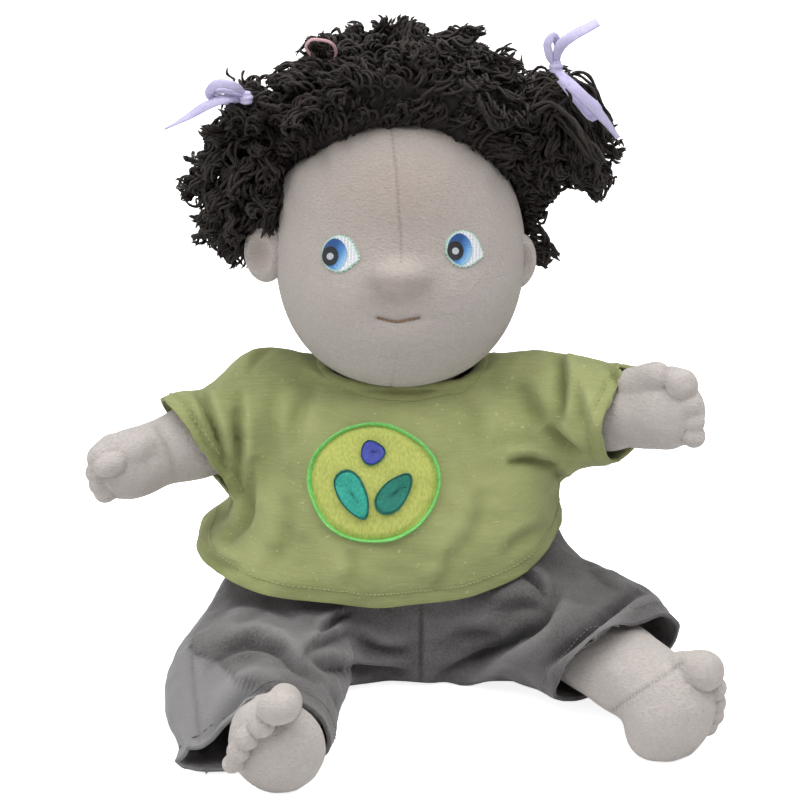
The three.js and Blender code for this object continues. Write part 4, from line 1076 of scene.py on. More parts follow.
def make_curls(yarn):
    """Several thousand curled strands, in groups that lie and fall in their own ways."""
    rng = np.random.default_rng(5)
    share = 1
    plan = {"crown": crown_curls(rng), "hairline": hairline_curls(rng)}
    for name in SIDES:
        plan[f"{name}_bunch"] = bunch_curls(name, rng)
    plan["left_fall"] = left_fall(rng)
    plan["right_tuft"] = right_tuft(rng)
    t = np.linspace(0, 1, CURL_RINGS)[None]
    for name, group in plan.items():
        roots, out, flow, length = (values[::share] for values in group)
        count = len(roots)
        straight = name == "left_fall"
        curl = rng.uniform(0.6, 1.5, count) if straight else rng.uniform(1.0, 2.7, count)
        pitch = rng.uniform(13, 22, count) if straight else rng.uniform(7, 15, count)
        paths = curl_paths(roots, out, flow, length, curl, pitch, rng)
        paths = paths[clear_curls(paths)]
        count = len(paths)
        phase = rng.random((count, 1)) * 6.28
        thick = rng.uniform(0.5, 0.82, (count, 1))
        radius = thick * (1 + 0.16 * np.sin(37 * t + phase)) * (1 - 0.7 * smoothstep(t, 0.9, 1.0))
        tint = np.clip(rng.normal(0.25, 0.3, (count, 1)), 0, 1) * np.ones((1, CURL_RINGS))
        cuts = np.array_split(np.arange(count), max(1, math.ceil(count / CURLS_PER_PIECE)))
        for number, some in enumerate(cuts):
            points, faces = tubes(paths[some], radius[some], CURL_SIDES)
            tints = np.repeat(tint[some].ravel(), CURL_SIDES)
            lock = f"hair_{name}_{number + 1}"
            piece(lock, points, faces, yarn, "head", (), flags={"tint": tints})


# Frames of the limbs
def arm_frame(name):
    """Shoulder, and the axes along the arm, to its front and up."""
    s = SIDES[name]
    lift, forward = math.radians(ARM_LIFT[name]), math.radians(ARM_FORWARD[name])
    way = np.array([
        s * math.cos(lift) * math.cos(forward), -math.cos(lift) * math.sin(forward), math.sin(lift)
    ])
    side = unit(np.cross([0, 0, 1], way))
    return SHOULDER * [s, 1, 1], np.array([way, -s * side, np.cross(way, side)])


def leg_frame(name):
    """Hip, and the axes along the leg, outward and up."""
    s = SIDES[name]
    out = math.radians(LEG_OUT[name])
    way = np.array([s * math.sin(out), -math.cos(out), 0])
    side = unit(np.cross(way, [0, 0, 1]))
    return HIP[name], np.array([way, side if side[0] * s > 0 else -side, [0, 0, 1]])


def local(p, place):
    origin, axes = place
    return (p - origin) @ axes.T


def world(q, place):
    origin, axes = place
    return np.asarray(q, float) @ axes + origin


# Arms and legs
FINGERS = {  # height on the hand, radius, reach
    "left": [(12.6, 6.6, 76.5), (3.6, 5.2, 78.2), (-3.2, 4.8, 78.4), (-9.2, 4.9, 77.6)],
    "right": [(9.4, 6.2, 75.5), (3.8, 4.9, 78.4), (-1.2, 4.5, 78.6), (-5.6, 4.7, 77.2)],
}


def arm_field(name):
    place = arm_frame(name)
    wrist = 14.2 if name == "left" else 12.6

    def field(p):
        q = local(p, place)
        d = rod(q, (2, 0, 0), (34, 0, 0), 20, 14.8)
        d = join(d, rod(q, (34, 0, 0), (60, 0, 0.5), 14.8, wrist), 4)
        d = join(d, egg(q, (62.5, 0, 0.8), np.eye(3), (17.5, 11.2, 14.6 if name == "left" else 13.2)), 7)
        for up, radius, reach in FINGERS[name]:
            d = join(d, rod(q, (66, -3, up * 0.95), (reach - radius * 0.4, 3.2, up), radius), 0.8)
        if name == "left":
            d = join(d, rod(q, (52, 3, 13), (64, 5, 16.8), 7.2, 6.0), 1.2)
        else:
            d = join(d, egg(q, (58.5, 7.6, 8.6), np.eye(3), (8.8, 5.8, 6.6)), 1.2)
            d = join(d, egg(q, (71.4, 8.9, 8.0), np.eye(3), (7.0, 5.4, 5.0)), 0.5)
        return d

    return field


def make_arm(name, skin):
    place = arm_frame(name)
    tip = world([60, 0, 0], place)
    low = np.minimum(place[0], tip) - 28
    high = np.maximum(place[0], tip) + 28
    points, faces = surface(arm_field(name), low, high, 0.9, polish=2, relax=1)
    q = local(points, place)
    front = smoothstep(q[:, 1], -2, 4)
    wrist = np.exp(-(((q[:, 0] - 47.5) / 1.6) ** 2)) * smoothstep(q[:, 2], -12, 6) * front * (name == "right")
    points = points - normals_of(points, faces) * (0.9 * wrist)[:, None]
    points = points + normals_of(points, faces) * (0.22 * wobble(points, 11, 4))[:, None]
    # painted shade in the grooves between the fingers, carried by the seam layer with the right wrist's
    # darker groove
    crevice_shade = crevices(points, faces)
    arm = piece(
        f"{name}_arm_velour", points, faces, skin, f"{name}_arm", [f"{name}_arm"],
        flags={"seam": np.clip(crevice_shade * 0.6 + 0.3 * wrist, 0, 0.7)},
    )


def crevices(points, faces):
    """1 in the bottom of a narrow groove, 0 on open skin; used to paint shade into grooves."""
    soft = relaxed(points, faces, 0.8, times=6)
    depth = ((soft - points) * normals_of(points, faces)).sum(1)
    return smoothstep(depth, 0.12, 0.7)


LEG = {  # distance from the hip, half width, half height, middle against the hip's height
    "left": [[0, 22, 17, 2], [30, 20, 17, 5], [60, 19, 17.5, 5], [90, 18.5, 16.5, 1], [107, 16, 15, -1]],
    "right": [[0, 22, 17, 0], [30, 20, 17, 0], [60, 17.5, 16.5, -0.7], [90, 16, 15, -2], [107, 14, 14, -1.5]],
}
FOOT_ROLL = {"left": 44, "right": 36}
FOOT_SEAM = [(612, 711), (632, 696), (657, 680), (683, 662)]  # over the left sole
TOES = {  # across the foot, along it, radius, half width beyond the radius
    "left": [
        (-5.5, 15.0, 8.4, 0), (5.4, 12.4, 5.4, 0), (10.6, 8.6, 4.9, 0),
        (13.6, 4.2, 4.6, 0), (14.8, -0.6, 4.2, 0),
    ],
    "right": [
        (-15.2, 15.2, 6.0, 2.2), (-5.6, 13.4, 5.0, 0), (2.4, 12.0, 4.7, 0),
        (8.6, 9.2, 4.4, 0), (13.6, 6.4, 3.9, 0),
    ],
}


def foot_frame(name):
    """The sole's axes: out of the sole, towards the little toe and towards the toes."""
    origin, axes = leg_frame(name)
    roll = math.radians(FOOT_ROLL[name])
    toes = np.array([0, 0, 1]) * math.cos(roll) + axes[1] * math.sin(roll)
    across = axes[1] * math.cos(roll) - np.array([0, 0, 1]) * math.sin(roll)
    return origin, np.array([axes[0], across, toes])


def leg_field(name):
    place, foot = leg_frame(name), foot_frame(name)
    table = smooth_table(LEG[name])

    def field(p):
        q, f = local(p, place), local(p, foot)
        wide, high, drop = table(q[:, 0])
        back = np.minimum(q[:, 0], 0)
        ring = np.sqrt((q[:, 1] / wide) ** 2 + ((q[:, 2] - drop) / high) ** 2 + (back / 22) ** 2)
        d = np.maximum((ring - 1) * np.minimum(wide, high), q[:, 0] - 112)
        if name == "right":
            d = join(d, egg(f, (110, -1, -2), np.eye(3), (13, 18, 18.4)), 5)
            d = join(d, egg(f, (104, 0, 8), np.eye(3), (12, 13, 9)), 6)
        else:
            d = join(d, egg(f, (108.5, 0.8, -5.5), np.eye(3), (16.5, 17.5, 21)), 5)
            d = join(d, egg(f, (105, 0, 7), np.eye(3), (13, 12, 10)), 6)
        tip = FOOT_AT + (8.5 if name == "right" else 3.5)
        for across, up, radius, wider in TOES[name]:
            start = (FOOT_AT - 6, across * 0.9, up - 4)
            toe = rod(f, start, (tip, across - wider, up - 0.5 * wider), radius)
            if wider:
                toe = join(toe, rod(f, start, (tip, across + wider, up + 0.5 * wider), radius), 3)
            d = join(d, toe, 0.15)
        return -join(-d, p[:, 2] - 0.3, 2)

    return field


def make_leg(name, skin):
    place = leg_frame(name)
    tip = world([FOOT_AT, 0, 0], place)
    low = np.minimum(place[0], tip) - 32
    low[2] = -2
    high = np.maximum(place[0], tip) + 32
    points, faces = surface(leg_field(name), low, high, 0.95, polish=2, relax=1)
    points = points + normals_of(points, faces) * (0.22 * wobble(points, 12, 6))[:, None]
    points[:, 2] = np.maximum(points[:, 2], 0.1)
    # painted shade in the grooves between the toes, carried by the seam layer with the seam over the left
    # sole
    crevice_shade = crevices(points, faces)
    mark = crevice_shade * 0.6
    if name == "left":
        u, v = pixel(points)
        line = spline(FOOT_SEAM, 120)
        near = np.hypot(u[:, None] - line[:, 0], v[:, None] - line[:, 1]).min(1)
        facing = smoothstep(normals_of(points, faces) @ CAMERA_WAY, 0, 0.3)
        share = np.exp(-((near / 2.2) ** 2)) * facing
        points = points - normals_of(points, faces) * (share * 0.55)[:, None]
        mark = mark + share * (0.35 + 0.35 * np.sin(u * 1.9))
    leg = piece(
        f"{name}_leg_velour", points, faces, skin, f"{name}_leg", [f"{name}_leg"],
        flags={"seam": np.clip(mark, 0, 0.8)},
    )


# Trunk and neck, under the clothes
trunk_table = smooth_table(TRUNK)


def trunk_field(p, grow=0.0):
    wide, deep, middle = trunk_table(p[:, 2])
    wide, deep = wide + grow, deep + grow
    ring = ((np.abs(p[:, 0]) / wide) ** 2.3 + (np.abs(p[:, 1] - middle) / deep) ** 2.3) ** (1 / 2.3)
    return (ring - 1) * deep


def make_trunk(skin):
    def field(p):
        return np.maximum.reduce([trunk_field(p, -3.2), p[:, 2] - 121, 2.0 - p[:, 2]])

    points, faces = surface(field, (-72, -52, -3), (72, 52, 130), 3.4, polish=1, relax=3)
    trunk = piece("trunk_cloth", points, faces, skin, "torso", ["torso"])

    def shaft(p):
        return join(rod(p, (0, 5, 108), NECK_PIVOT, 13), egg(p, NECK_PIVOT, np.eye(3), (15, 15, 15)), 4)

    points, faces = surface(shaft, (-20, -14, 90), (20, 24, 164), 2.0, polish=1, relax=1)
    neck = piece("neck_cloth", points, faces, skin, "neck", ["neck"])


# Cloth
def triangles(faces):
    faces = np.asarray(faces)
    return faces if faces.shape[1] == 3 else np.concatenate([faces[:, [0, 1, 2]], faces[:, [0, 2, 3]]])


def trim(points, faces, value, draw=True):
    """Keeps what has a value below zero, cut cleanly along the line of zero.

    Further columns of points go along.
    """
    tris = triangles(faces)
    value = np.where(np.abs(value) < 1e-6, -1e-6, value)
    inside = value < 0
    count = inside[tris].sum(1)
    one, two = tris[count == 1], tris[count == 2]
    first = np.argmax(inside[one], axis=1)
    one = np.stack([one[np.arange(len(one)), (first + k) % 3] for k in range(3)], -1)
    first = np.argmin(inside[two], axis=1)
    two = np.stack([two[np.arange(len(two)), (first + k) % 3] for k in range(3)], -1)
    pairs = np.concatenate([one[:, [0, 1]], one[:, [0, 2]], two[:, [0, 1]], two[:, [0, 2]]])
    keys, inverse = np.unique(np.sort(pairs, axis=1), axis=0, return_inverse=True)
    inverse = inverse.ravel() + len(points)
    a, b = value[keys[:, 0]], value[keys[:, 1]]
    t = (a / (a - b))[:, None]
    added = points[keys[:, 0]] * (1 - t) + points[keys[:, 1]] * t
    n1, n2 = len(one), len(two)
    ab, ac = inverse[:n1], inverse[n1 : 2 * n1]
    db, dc = inverse[2 * n1 : 2 * n1 + n2], inverse[2 * n1 + n2 :]
    made = [
        tris[count == 3],
        np.stack([one[:, 0], ab, ac], -1),
        np.stack([db, two[:, 1], two[:, 2]], -1),
        np.stack([db, two[:, 2], dc], -1),
    ]
    points, faces = tidy(np.concatenate([points, added]), np.concatenate(made))
    return merged(points, faces, 0.25) if draw else (points, faces)


def merged(points, faces, gap):
    """Draws very short edges together, so that a cut leaves no slivers."""
    edges = edges_of(faces)
    short = edges[np.linalg.norm(points[edges[:, 0], :3] - points[edges[:, 1], :3], axis=1) < gap]
    target = np.arange(len(points))
    border = np.zeros(len(points), bool)
    border[rim_of(faces).ravel()] = True
    for a, b in short:
        if border[a] and not border[b]:
            target[b] = target[a]
        elif target[a] == a:
            target[a] = target[b]
    for _ in range(4):
        target = target[target]
    faces = target[faces]
    good = (faces[:, 0] != faces[:, 1]) & (faces[:, 1] != faces[:, 2]) & (faces[:, 0] != faces[:, 2])
    return tidy(points, faces[good])


STITCH_SHARE = 0.62  # of the way from one stitch to the next


def stitch_row(name, spots, ways, radius, look, body):
    """Short thread stitches along spots: each pair of neighbours holds one stitch."""
    t = np.linspace(0.5 - STITCH_SHARE / 2, 0.5 + STITCH_SHARE / 2, 5)[:, None]
    rise = np.array([-0.35, 0.25, 0.4, 0.25, -0.35])[:, None]
    paths = spots[:-1, None] * (1 - t) + spots[1:, None] * t + ways[:-1, None] * (rise * radius * 2)
    points, faces = tubes(paths, np.array([0.7, 1, 1, 1, 0.7]) * radius, 6)
    piece(name, points, faces, look, body, ())


def ring_on(tree, place, t_of, count, reach=110):
    """Points round an axis on a mesh, found from outside, with the ways out of the mesh.

    t_of gives the place along the axis from the unit way out (its two parts in the frame's other axes).
    """
    origin, axes = place
    spots, ways = [], []
    for angle in np.arange(count) / count * 2 * math.pi:
        out = axes[1] * math.cos(angle) + axes[2] * math.sin(angle)
        t = t_of(math.cos(angle), math.sin(angle), None)
        for _ in range(3):
            start = origin + axes[0] * t + out * reach
            hit, normal, _, _ = tree.ray_cast(Vector(start), Vector(-out))
            if hit is None:
                break
            t = t_of(math.cos(angle), math.sin(angle), np.array(hit))
        if hit is None:
            continue
        spots.append(np.array(hit))
        ways.append(np.array(normal) * (1 if normal.dot(Vector(out)) > 0 else -1))
    return np.array(spots), np.array(ways)


HEM_HEIGHTS = smooth_table([
    [-78, 52], [-60, 49], [-40, 47], [0, 44.5], [32, 47.5], [50, 53], [64, 60], [80, 66]
])
NECKLINE = (1.0, 2.0, 36.0, 28.5)  # middle and half sizes of the neck's opening, seen from above
SLEEVE_LOWEST = {"left": 76, "right": 62}  # no cloth under this height belongs to a sleeve
SLEEVE_END = {  # place along the arm, its slope with the height over the arm, and half width
    "left": (44, 0.26, 31),
    "right": (33.5, 0.30, 32),
}
ARMPIT_ROW = 486  # above this row of the picture the right sleeve's end may be wider
ARMHOLE = {
    "left": (np.array([57, 0, 106]), unit([0.95, -0.25, 0.3])),
    "right": (np.array([-57, 0, 106]), unit([-0.95, -0.22, 0.65])),
}
CLOTH_THICK = 1.7
SHIRT_HEM, CUFF_HEM, LEG_HEM = 5.6, 4.5, 7.5  # how far the stitches lie from the edge
BAND_SHARE = 0.17  # width of the neck's ribbed band, as a share of the opening


def sleeve_cut(name, points):
    """Beyond the sleeve's end, and not below the armpit, where the shirt's body is as far out."""
    q = local(points, arm_frame(name))
    at, slope, wide = SLEEVE_END[name]
    near = wide - np.hypot(q[:, 1], q[:, 2])
    if name == "right":
        near = np.maximum((ARMPIT_ROW - pixel(points)[1]) / 2.4, near)
    return np.minimum(q[:, 0] - at - slope * q[:, 2], near)


# places where the cloth lies elsewhere than over the stuffing: pixel, radius in pixels, move
SHIRT_PULLS = [
    ((203, 368), 27, (0.5, 0, -5.5)),
    ((212, 500), 16, (5.0, 0, 0)),
    ((576, 505), 16, (-2.5, 0, 0)),
]


def pulled(points, pulls):
    u, v = pixel(points)
    points = points.copy()
    for (at_u, at_v), radius, move in pulls:
        share = np.exp(-(((u - at_u) ** 2 + (v - at_v) ** 2) / radius**2))
        points += share[:, None] * np.array(move)
    return points


def shirt_field(p):
    z = p[:, 2]
    low = np.clip((92 - z) / 48, 0, 1)
    turn = np.arctan2(p[:, 1], p[:, 0])
    right = np.maximum(0, -np.cos(turn))
    fold = np.sin(7 * turn + 0.6) + 0.6 * np.sin(11 * turn + 2.0)
    tuck = 7.0 * smoothstep(-z, -66, -53) * right**2
    grow = tuck + 4.6 - 2.2 * smoothstep(z, 92, 120) + low * (3.4 + 1.2 * fold + 9.5 * right)
    grow = grow + 2.0 * low * smoothstep(-p[:, 1], 10, 45)
    body = trunk_field(p, grow)
    body = np.maximum(body, z - 127.5)
    for name in SIDES:
        q = local(p, arm_frame(name))
        end = CUFF_RADIUS[name] + 0.8
        cone = rod(q, (0, 0, 0), (56, 0, 0), 27.2, end - 1.5)
        cone = cone - 0.5 * np.sin(5 * np.arctan2(q[:, 2], q[:, 1]) + 1) * smoothstep(q[:, 0], 15, 40)
        body = join(body, cone, 13)
    return body


SHIRT_FOLDS = [
    ([(194, 382), (204, 399), (211, 420), (221, 447), (229, 478)], 5.5, 5, 2.6),
    ([(184, 396), (198, 428), (214, 456), (226, 474)], 2.6, 4, 1.4),
    ([(237, 388), (238, 430), (239, 470), (243, 512)], 5.0, 6, 2.8),
    ([(224, 542), (242, 524), (250, 492), (251, 455)], 4.4, 6, 2.4),
    ([(246, 374), (256, 358), (272, 347)], 2.4, 4, 1.2),
    ([(204, 545), (216, 560), (240, 571)], 2.6, 6, 1.6),
    ([(262, 578), (282, 545), (288, 496)], 2.0, 9, 1.2),
    ([(318, 386), (300, 412), (294, 452)], 2.0, 8, 1.2),
    ([(276, 380), (272, 420), (276, 470)], 1.6, 8, 1.0),
    ([(452, 386), (472, 405), (478, 446)], 1.8, 9, 1.1),
    ([(452, 562), (474, 530), (480, 488)], 2.0, 9, 1.2),
    ([(556, 348), (561, 375), (561, 400), (556, 428)], 5.0, 6, 2.8),
    ([(518, 386), (530, 405), (543, 428)], 3.4, 9, 1.6),
    ([(546, 426), (560, 440), (580, 456)], 5.0, 6, 2.6),
    ([(506, 463), (525, 460), (556, 468)], 4.4, 5, 2.4),
    ([(547, 460), (566, 488), (576, 514)], 2.8, 5, 1.6),
    ([(602, 360), (613, 374), (620, 392)], 2.8, 4, 1.6),
    ([(592, 392), (590, 410), (594, 434)], -2.0, 7, 0.0),
    ([(572, 370), (577, 400), (590, 432)], 2.8, 6, 1.4),
    ([(430, 592), (446, 574), (450, 548)], 1.8, 7, 1.0),
    ([(345, 594), (352, 572), (350, 548)], 1.6, 7, 1.0),
    ([(500, 560), (520, 540), (548, 524)], 1.8, 7, 1.0),
]


def make_shirt(jersey, rib, thread):
    points, faces = surface(shirt_field, (-118, -78, 34), (118, 66, 134), 1.6, polish=2, relax=1)
    points, faces = pulled(points, SHIRT_PULLS), triangles(faces)
    points, faces = trim(points, faces, HEM_HEIGHTS(points[:, 0])[0] - points[:, 2])
    points, faces = largest(points, faces)
    for name in SIDES:
        cut = np.where(points[:, 0] * SIDES[name] > 20, sleeve_cut(name, points), -1.0)
        points, faces = trim(points, faces, one_patch(faces, cut))
        points, faces = largest(points, faces)
    points = even_rim(points, faces)
    waves = 0.7 * wobble(points, 34, 8) + 0.3 * wobble(points, 13, 9)
    points = points + normals_of(points, faces) * waves[:, None]
    points, fold = creased(points, faces, SHIRT_FOLDS)
    tree = tree_of(points, faces)
    sheet = np.hstack([points, normals_of(points, faces), fold[:, None]])

    def collar(p):
        q = np.hypot((p[:, 0] - NECKLINE[0]) / NECKLINE[2], (p[:, 1] - NECKLINE[1]) / NECKLINE[3])
        return np.where(p[:, 2] > 90, 1 - q, -1.0)

    band, band_faces = trim(sheet, faces, -collar(sheet))
    sheet, faces = trim(sheet, faces, collar(sheet))
    sheet = even_rim(sheet, faces, 2)

    # the ribbed band inside the neckline
    band, band_faces = trim(band, band_faces, collar(band) - BAND_SHARE)
    band = even_rim(band, band_faces, 2)
    across = np.clip(collar(band) / BAND_SHARE, 0, 1)
    band_points = band[:, :3] + band[:, 3:6] * (0.9 * np.sin(across * math.pi) + 0.2)[:, None]
    solid, every, _ = thickened(band_points, band_faces, CLOTH_THICK)
    piece("neck_rib", solid, every, rib, "torso", ["neck_band"])

    beyond = {
        name: np.where(sheet[:, 2] > SLEEVE_LOWEST[name], (sheet[:, :3] - at) @ way, -5.0)
        for name, (at, way) in ARMHOLE.items()
    }
    for name, part in cut_apart(sheet, faces, beyond).items():
        names = (f"{name}_sleeve_jersey", f"{name}_sleeve") if name else ("shirt_jersey_body", "shirt_body")
        sew(names, part, jersey, hem_marks, name, ARMHOLE, 26)

    # stitches along hem and cuffs
    round_doll = (np.array([0, 0, 0.0]), np.array([[0, 0, 1.0], [1, 0, 0], [0, 1, 0]]))

    def hem_at(c, s, hit):
        x = 70 * c if hit is None else hit[0]
        return float(HEM_HEIGHTS(np.array([x]))[0][0]) + SHIRT_HEM

    spots, ways = ring_on(tree, round_doll, hem_at, 236)
    stitch_row("shirt_hem_stitches", spots, ways, 0.3, thread, "torso")
    for name in SIDES:
        place = arm_frame(name)

        def cuff_at(c, s, hit, name=name, place=place):
            up = 20 * s if hit is None else local(hit[None], place)[0, 2]
            at, slope, _ = SLEEVE_END[name]
            return at + slope * up - CUFF_HEM

        spots, ways = ring_on(tree, place, cuff_at, 60, reach=29)
        # the stitches ride on the arm
        stitch_row(f"{name}_cuff_stitches", spots, ways, 0.28, thread, f"{name}_arm")
    return tree


def hem_marks(name, points):
    """How dark the stitch line is, and the painted shade along the turned hem's edge."""
    above = -sleeve_cut(name, points) if name else points[:, 2] - HEM_HEIGHTS(points[:, 0])[0]
    dark = 0.35 * np.exp(-(((above - SHIRT_HEM) / 0.9) ** 2)) + 0.25 * np.exp(-((above / 0.8) ** 2))
    return {"seam": dark}


def labels_of(count, edges):
    """A number for each point, the same for all points that the edges connect."""
    label = np.arange(count)
    for _ in range(400):
        low = np.minimum(label[edges[:, 0]], label[edges[:, 1]])
        before = label.copy()
        np.minimum.at(label, edges[:, 0], low)
        np.minimum.at(label, edges[:, 1], low)
        label = label[label]
        if (label == before).all():
            break
    return label


def largest(points, faces):
    """The largest connected part."""
    label = labels_of(len(points), edges_of(faces))
    names, counts = np.unique(label[faces[:, 0]], return_counts=True)
    return tidy(points, faces[label[faces[:, 0]] == names[np.argmax(counts)]])


def one_patch(faces, value):
    """The value at each point, above 0 only in its largest connected patch."""
    edges = edges_of(faces)
    label = labels_of(len(value), edges[(value[edges] > 0).all(axis=1)])
    names, counts = np.unique(label[value > 0], return_counts=True)
    return np.where((value > 0) & (label != names[np.argmax(counts)]), -0.3, value)


def cut_apart(sheet, faces, beyond):
    """A garment's part on the trunk, under "", and the parts beyond the limbs' joints, under their sides."""
    parts = {"": trim(sheet, faces, np.maximum(beyond["left"], beyond["right"]), draw=False)}
    for name in SIDES:
        parts[name] = trim(sheet, faces, -beyond[name], draw=False)
    return {name: largest(*part) for name, part in parts.items()}


def sew(names, part, look, marks, side, planes, reach):
    """A piece of a garment, thickened; the trunk's part rides on the torso, and a side's part stays where it
    is made.
    """
    name, node = names
    points, faces = part
    solid, every, corners = thickened(points[:, :3], faces, CLOTH_THICK, unit(points[:, 3:6]))
    # the fold layer holds the crease's depth, which the cloth's look paints as shade and highlight
    flags = {"fold": np.tile(points[:, 6], 2), **marks(side, solid)}
    body = None if side else "torso"
    cloth = piece(name, solid, every, look, body, [node], flags=flags, normals=corners)
    if side:
        at, way = planes[side]
        to_frame(at)
        to_frame(at + way * reach)
        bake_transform(cloth)


# Badge
BADGE_MM_PER_PX = 0.405


def make_badge(tree, looks):
    """A round badge of felt with a corded edge, two leaves and a berry, sewn on the shirt's front."""
    centre = at_pixel(373.5, 483.5, -52)

    def patch(name, node, look, outline, low, high, rings, middle=(0, 0), ridges=0.0, hole=0.0):
        spokes = 200
        angle = np.arange(spokes) / spokes * 2 * math.pi
        rim = outline(angle)
        share = np.linspace(hole, 1, rings + 1)
        flat = (share[:, None, None] * rim + np.array(middle)).reshape(-1, 2)
        level = np.repeat(share, spokes)
        turn = np.tile(np.arange(spokes), rings + 1) / spokes
        edge = smoothstep(1 - level, 0, 0.12)
        if hole:
            edge = np.sin(math.pi * np.clip((level - hole) / (1 - hole), 0, 1)) ** 0.5
        height = low + (high - low) * edge
        height += ridges * (0.5 + 0.5 * np.sin(turn * 2 * math.pi * 92)) * edge
        points = laid_flat(tree, centre, flat, BADGE_MM_PER_PX, height)
        return piece(name, points, grid_quads(rings + 1, spokes), look, "torso", [node] if node else ())

    def disc(grow):
        def outline(a):
            wave = 0.8 * np.sin(3 * a + 1) + 0.6 * np.sin(5 * a)
            return np.stack([(65.2 + grow + wave) * np.cos(a), (58.6 + grow + wave) * np.sin(a)], -1)

        return outline

    def leaf(wide, high, turn):
        def outline(a):
            x, y = wide * np.cos(a), high * np.sin(a) * (1 - 0.25 * np.cos(a))
            t = math.radians(turn)
            return np.stack([x * math.cos(t) - y * math.sin(t), x * math.sin(t) + y * math.cos(t)], -1)

        return outline

    patch("badge_felt", "patch_disc", looks["felt"], disc(-2), 0.2, 1.3, 34)
    patch(
        "badge_cord", "patch_border", looks["edge"], disc(1.5), 0.2, 2.1, 8, ridges=0.35,
        hole=0.945,
    )
    for name, node, slot, look, outline, middle in (
        ("badge_leaf_light", "patch_leaf_large", "badge_teal_light", "light", leaf(27, 14, -63), (-20, -12)),
        ("badge_leaf_dark", "patch_leaf_small", "badge_teal_dark", "dark", leaf(25, 13.5, 50), (21, -10)),
        ("badge_berry", "patch_berry", "badge_blue", "blue", leaf(12.5, 12.5, 0), (0, 30)),
    ):
        patch(name, node, looks[look], outline, 1.2, 2.3, 16, middle, ridges=0.12)
        rim = name + "_outline"
        patch(rim, "", looks["outline"], outline, 1.2, 2.7, 4, middle, ridges=0.3, hole=0.9)


# Trousers
TROUSER = {  # distance from the hip, half width, half height, middle's height, shift outward
    "left": [[0, 29, 24, 4.2, 0], [30, 33, 25.5, 5.5, 3], [55, 34, 23, 6.3, 5], [84, 31, 20.5, 4, 2]],
    "right": [[0, 32, 21.5, 0, 4], [30, 35, 22, 0, 9], [60, 35.5, 21, -0.3, 12], [99, 32, 18.5, -1.6, 12]],
}
GROIN = {
    name: (np.array([s * 43, -33.5, 20.0]), unit([s * 0.495, -0.869, 0])) for name, s in SIDES.items()
}
trouser_tables = {name: smooth_table(rows) for name, rows in TROUSER.items()}


def leg_end(name, q):
    """How far along the leg its hem lies, at the places across and up of a point in the leg's own frame."""
    across, up = q[..., 1], q[..., 2]
    return 70.5 + 0.52 * (up - 3) if name == "left" else 98.5 + 0.11 * up + 0.12 * across


def trouser_field(p):
    seat = trunk_field(p, 3.2)
    for name in SIDES:
        q = local(p, leg_frame(name))
        wide, high, drop, shift = trouser_tables[name](np.maximum(q[:, 0], 0))
        back = np.minimum(q[:, 0], 0)
        around = np.arctan2(q[:, 2] - drop, q[:, 1] - shift)
        a = np.hypot(q[:, 1] - shift, back) / wide
        ring = (a**2.5 + (np.abs(q[:, 2] - drop) / high) ** 2.5) ** 0.4
        share = np.clip(q[:, 0] / 90, 0, 1)
        wave = 0.9 * share * np.sin(5 * around + 3 * share + 0.5) * (np.sin(around) > -0.5)
        seat = join(seat, (ring - 1) * np.minimum(wide, high) - wave, 13)
    return -join(-seat, p[:, 2] - 0.4, 3)


SIDE_SEAM = [(229, 585), (212, 603), (193, 629), (191, 651), (196, 680), (203, 715)]
FRONT_SEAM = [(420, 604), (421, 640), (420, 682)]
GROIN_SEAM = [(343, 606), (334, 618), (319, 634), (303, 655)]
TROUSER_FOLDS = [
    ([(200, 652), (223, 643), (253, 640), (279, 649), (296, 665), (320, 682)], 5.0, 6, 3.0),
    ([(200, 690), (229, 682), (260, 685), (284, 691)], 3.8, 6, 2.2),
    ([(206, 614), (236, 602), (270, 604), (298, 617)], 2.8, 7, 1.8),
    ([(318, 634), (334, 622), (350, 612)], 4.0, 4, 2.2),
    ([(300, 656), (334, 667), (370, 671), (412, 673)], 4.8, 6, 2.6),
    ([(300, 656), (330, 640), (356, 631)], 3.2, 5, 2.0),
    ([(352, 633), (377, 649), (410, 652)], 3.4, 6, 2.2),
    (SIDE_SEAM, 1.3, 3, 0.6),
    (FRONT_SEAM, 1.4, 3, 0.8),
    ([(522, 572), (536, 581), (546, 598)], 4.2, 4, 2.2),
    ([(560, 592), (542, 621), (509, 644), (470, 664), (434, 679)], 6.5, 7, 4.2),
    ([(662, 586), (639, 592), (607, 616), (574, 642), (540, 670)], 5.6, 6, 3.6),
    ([(584, 558), (600, 574), (624, 592)], 3.0, 6, 1.8),
    ([(496, 613), (520, 604), (550, 607)], 3.0, 7, 1.6),
    ([(444, 641), (470, 634), (502, 637)], 2.6, 7, 1.6),
    ([(328, 688), (338, 700), (336, 714)], 2.2, 4, 1.2),
    ([(250, 712), (256, 700), (252, 684)], 1.6, 5, 1.0),
    ([(236, 628), (248, 616), (268, 612)], 1.8, 6, 1.2),
]
TROUSER_PULLS = [
    ((203, 724), 27, (0, -1.5, -7.0)),
    ((166, 748), 24, (5.0, 0, 0)),
    ((236, 705), 16, (0, -1.5, -3.0)),
]


def sagged(points):
    """Lets the right leg's cloth sink beside the ankle, where nothing holds it up."""
    q = local(points, leg_frame("right"))
    share = 0.46 * smoothstep(q[:, 0], 46, 98) * smoothstep(q[:, 1], 6, 36) * (points[:, 0] < 0)
    points = points.copy()
    points[:, 2] *= 1 - share * smoothstep(points[:, 2], 2, 16)
    return points


def pixel_gap(points, line):
    """How many pixels each point is from a smooth line through some pixels."""
    u, v = pixel(points)
    fine = spline(line, 60)
    gap = np.full(len(points), 99.0)
    for part in np.array_split(np.arange(len(points)), 8):
        gap[part] = np.hypot(u[part, None] - fine[:, 0], v[part, None] - fine[:, 1]).min(1)
    return gap


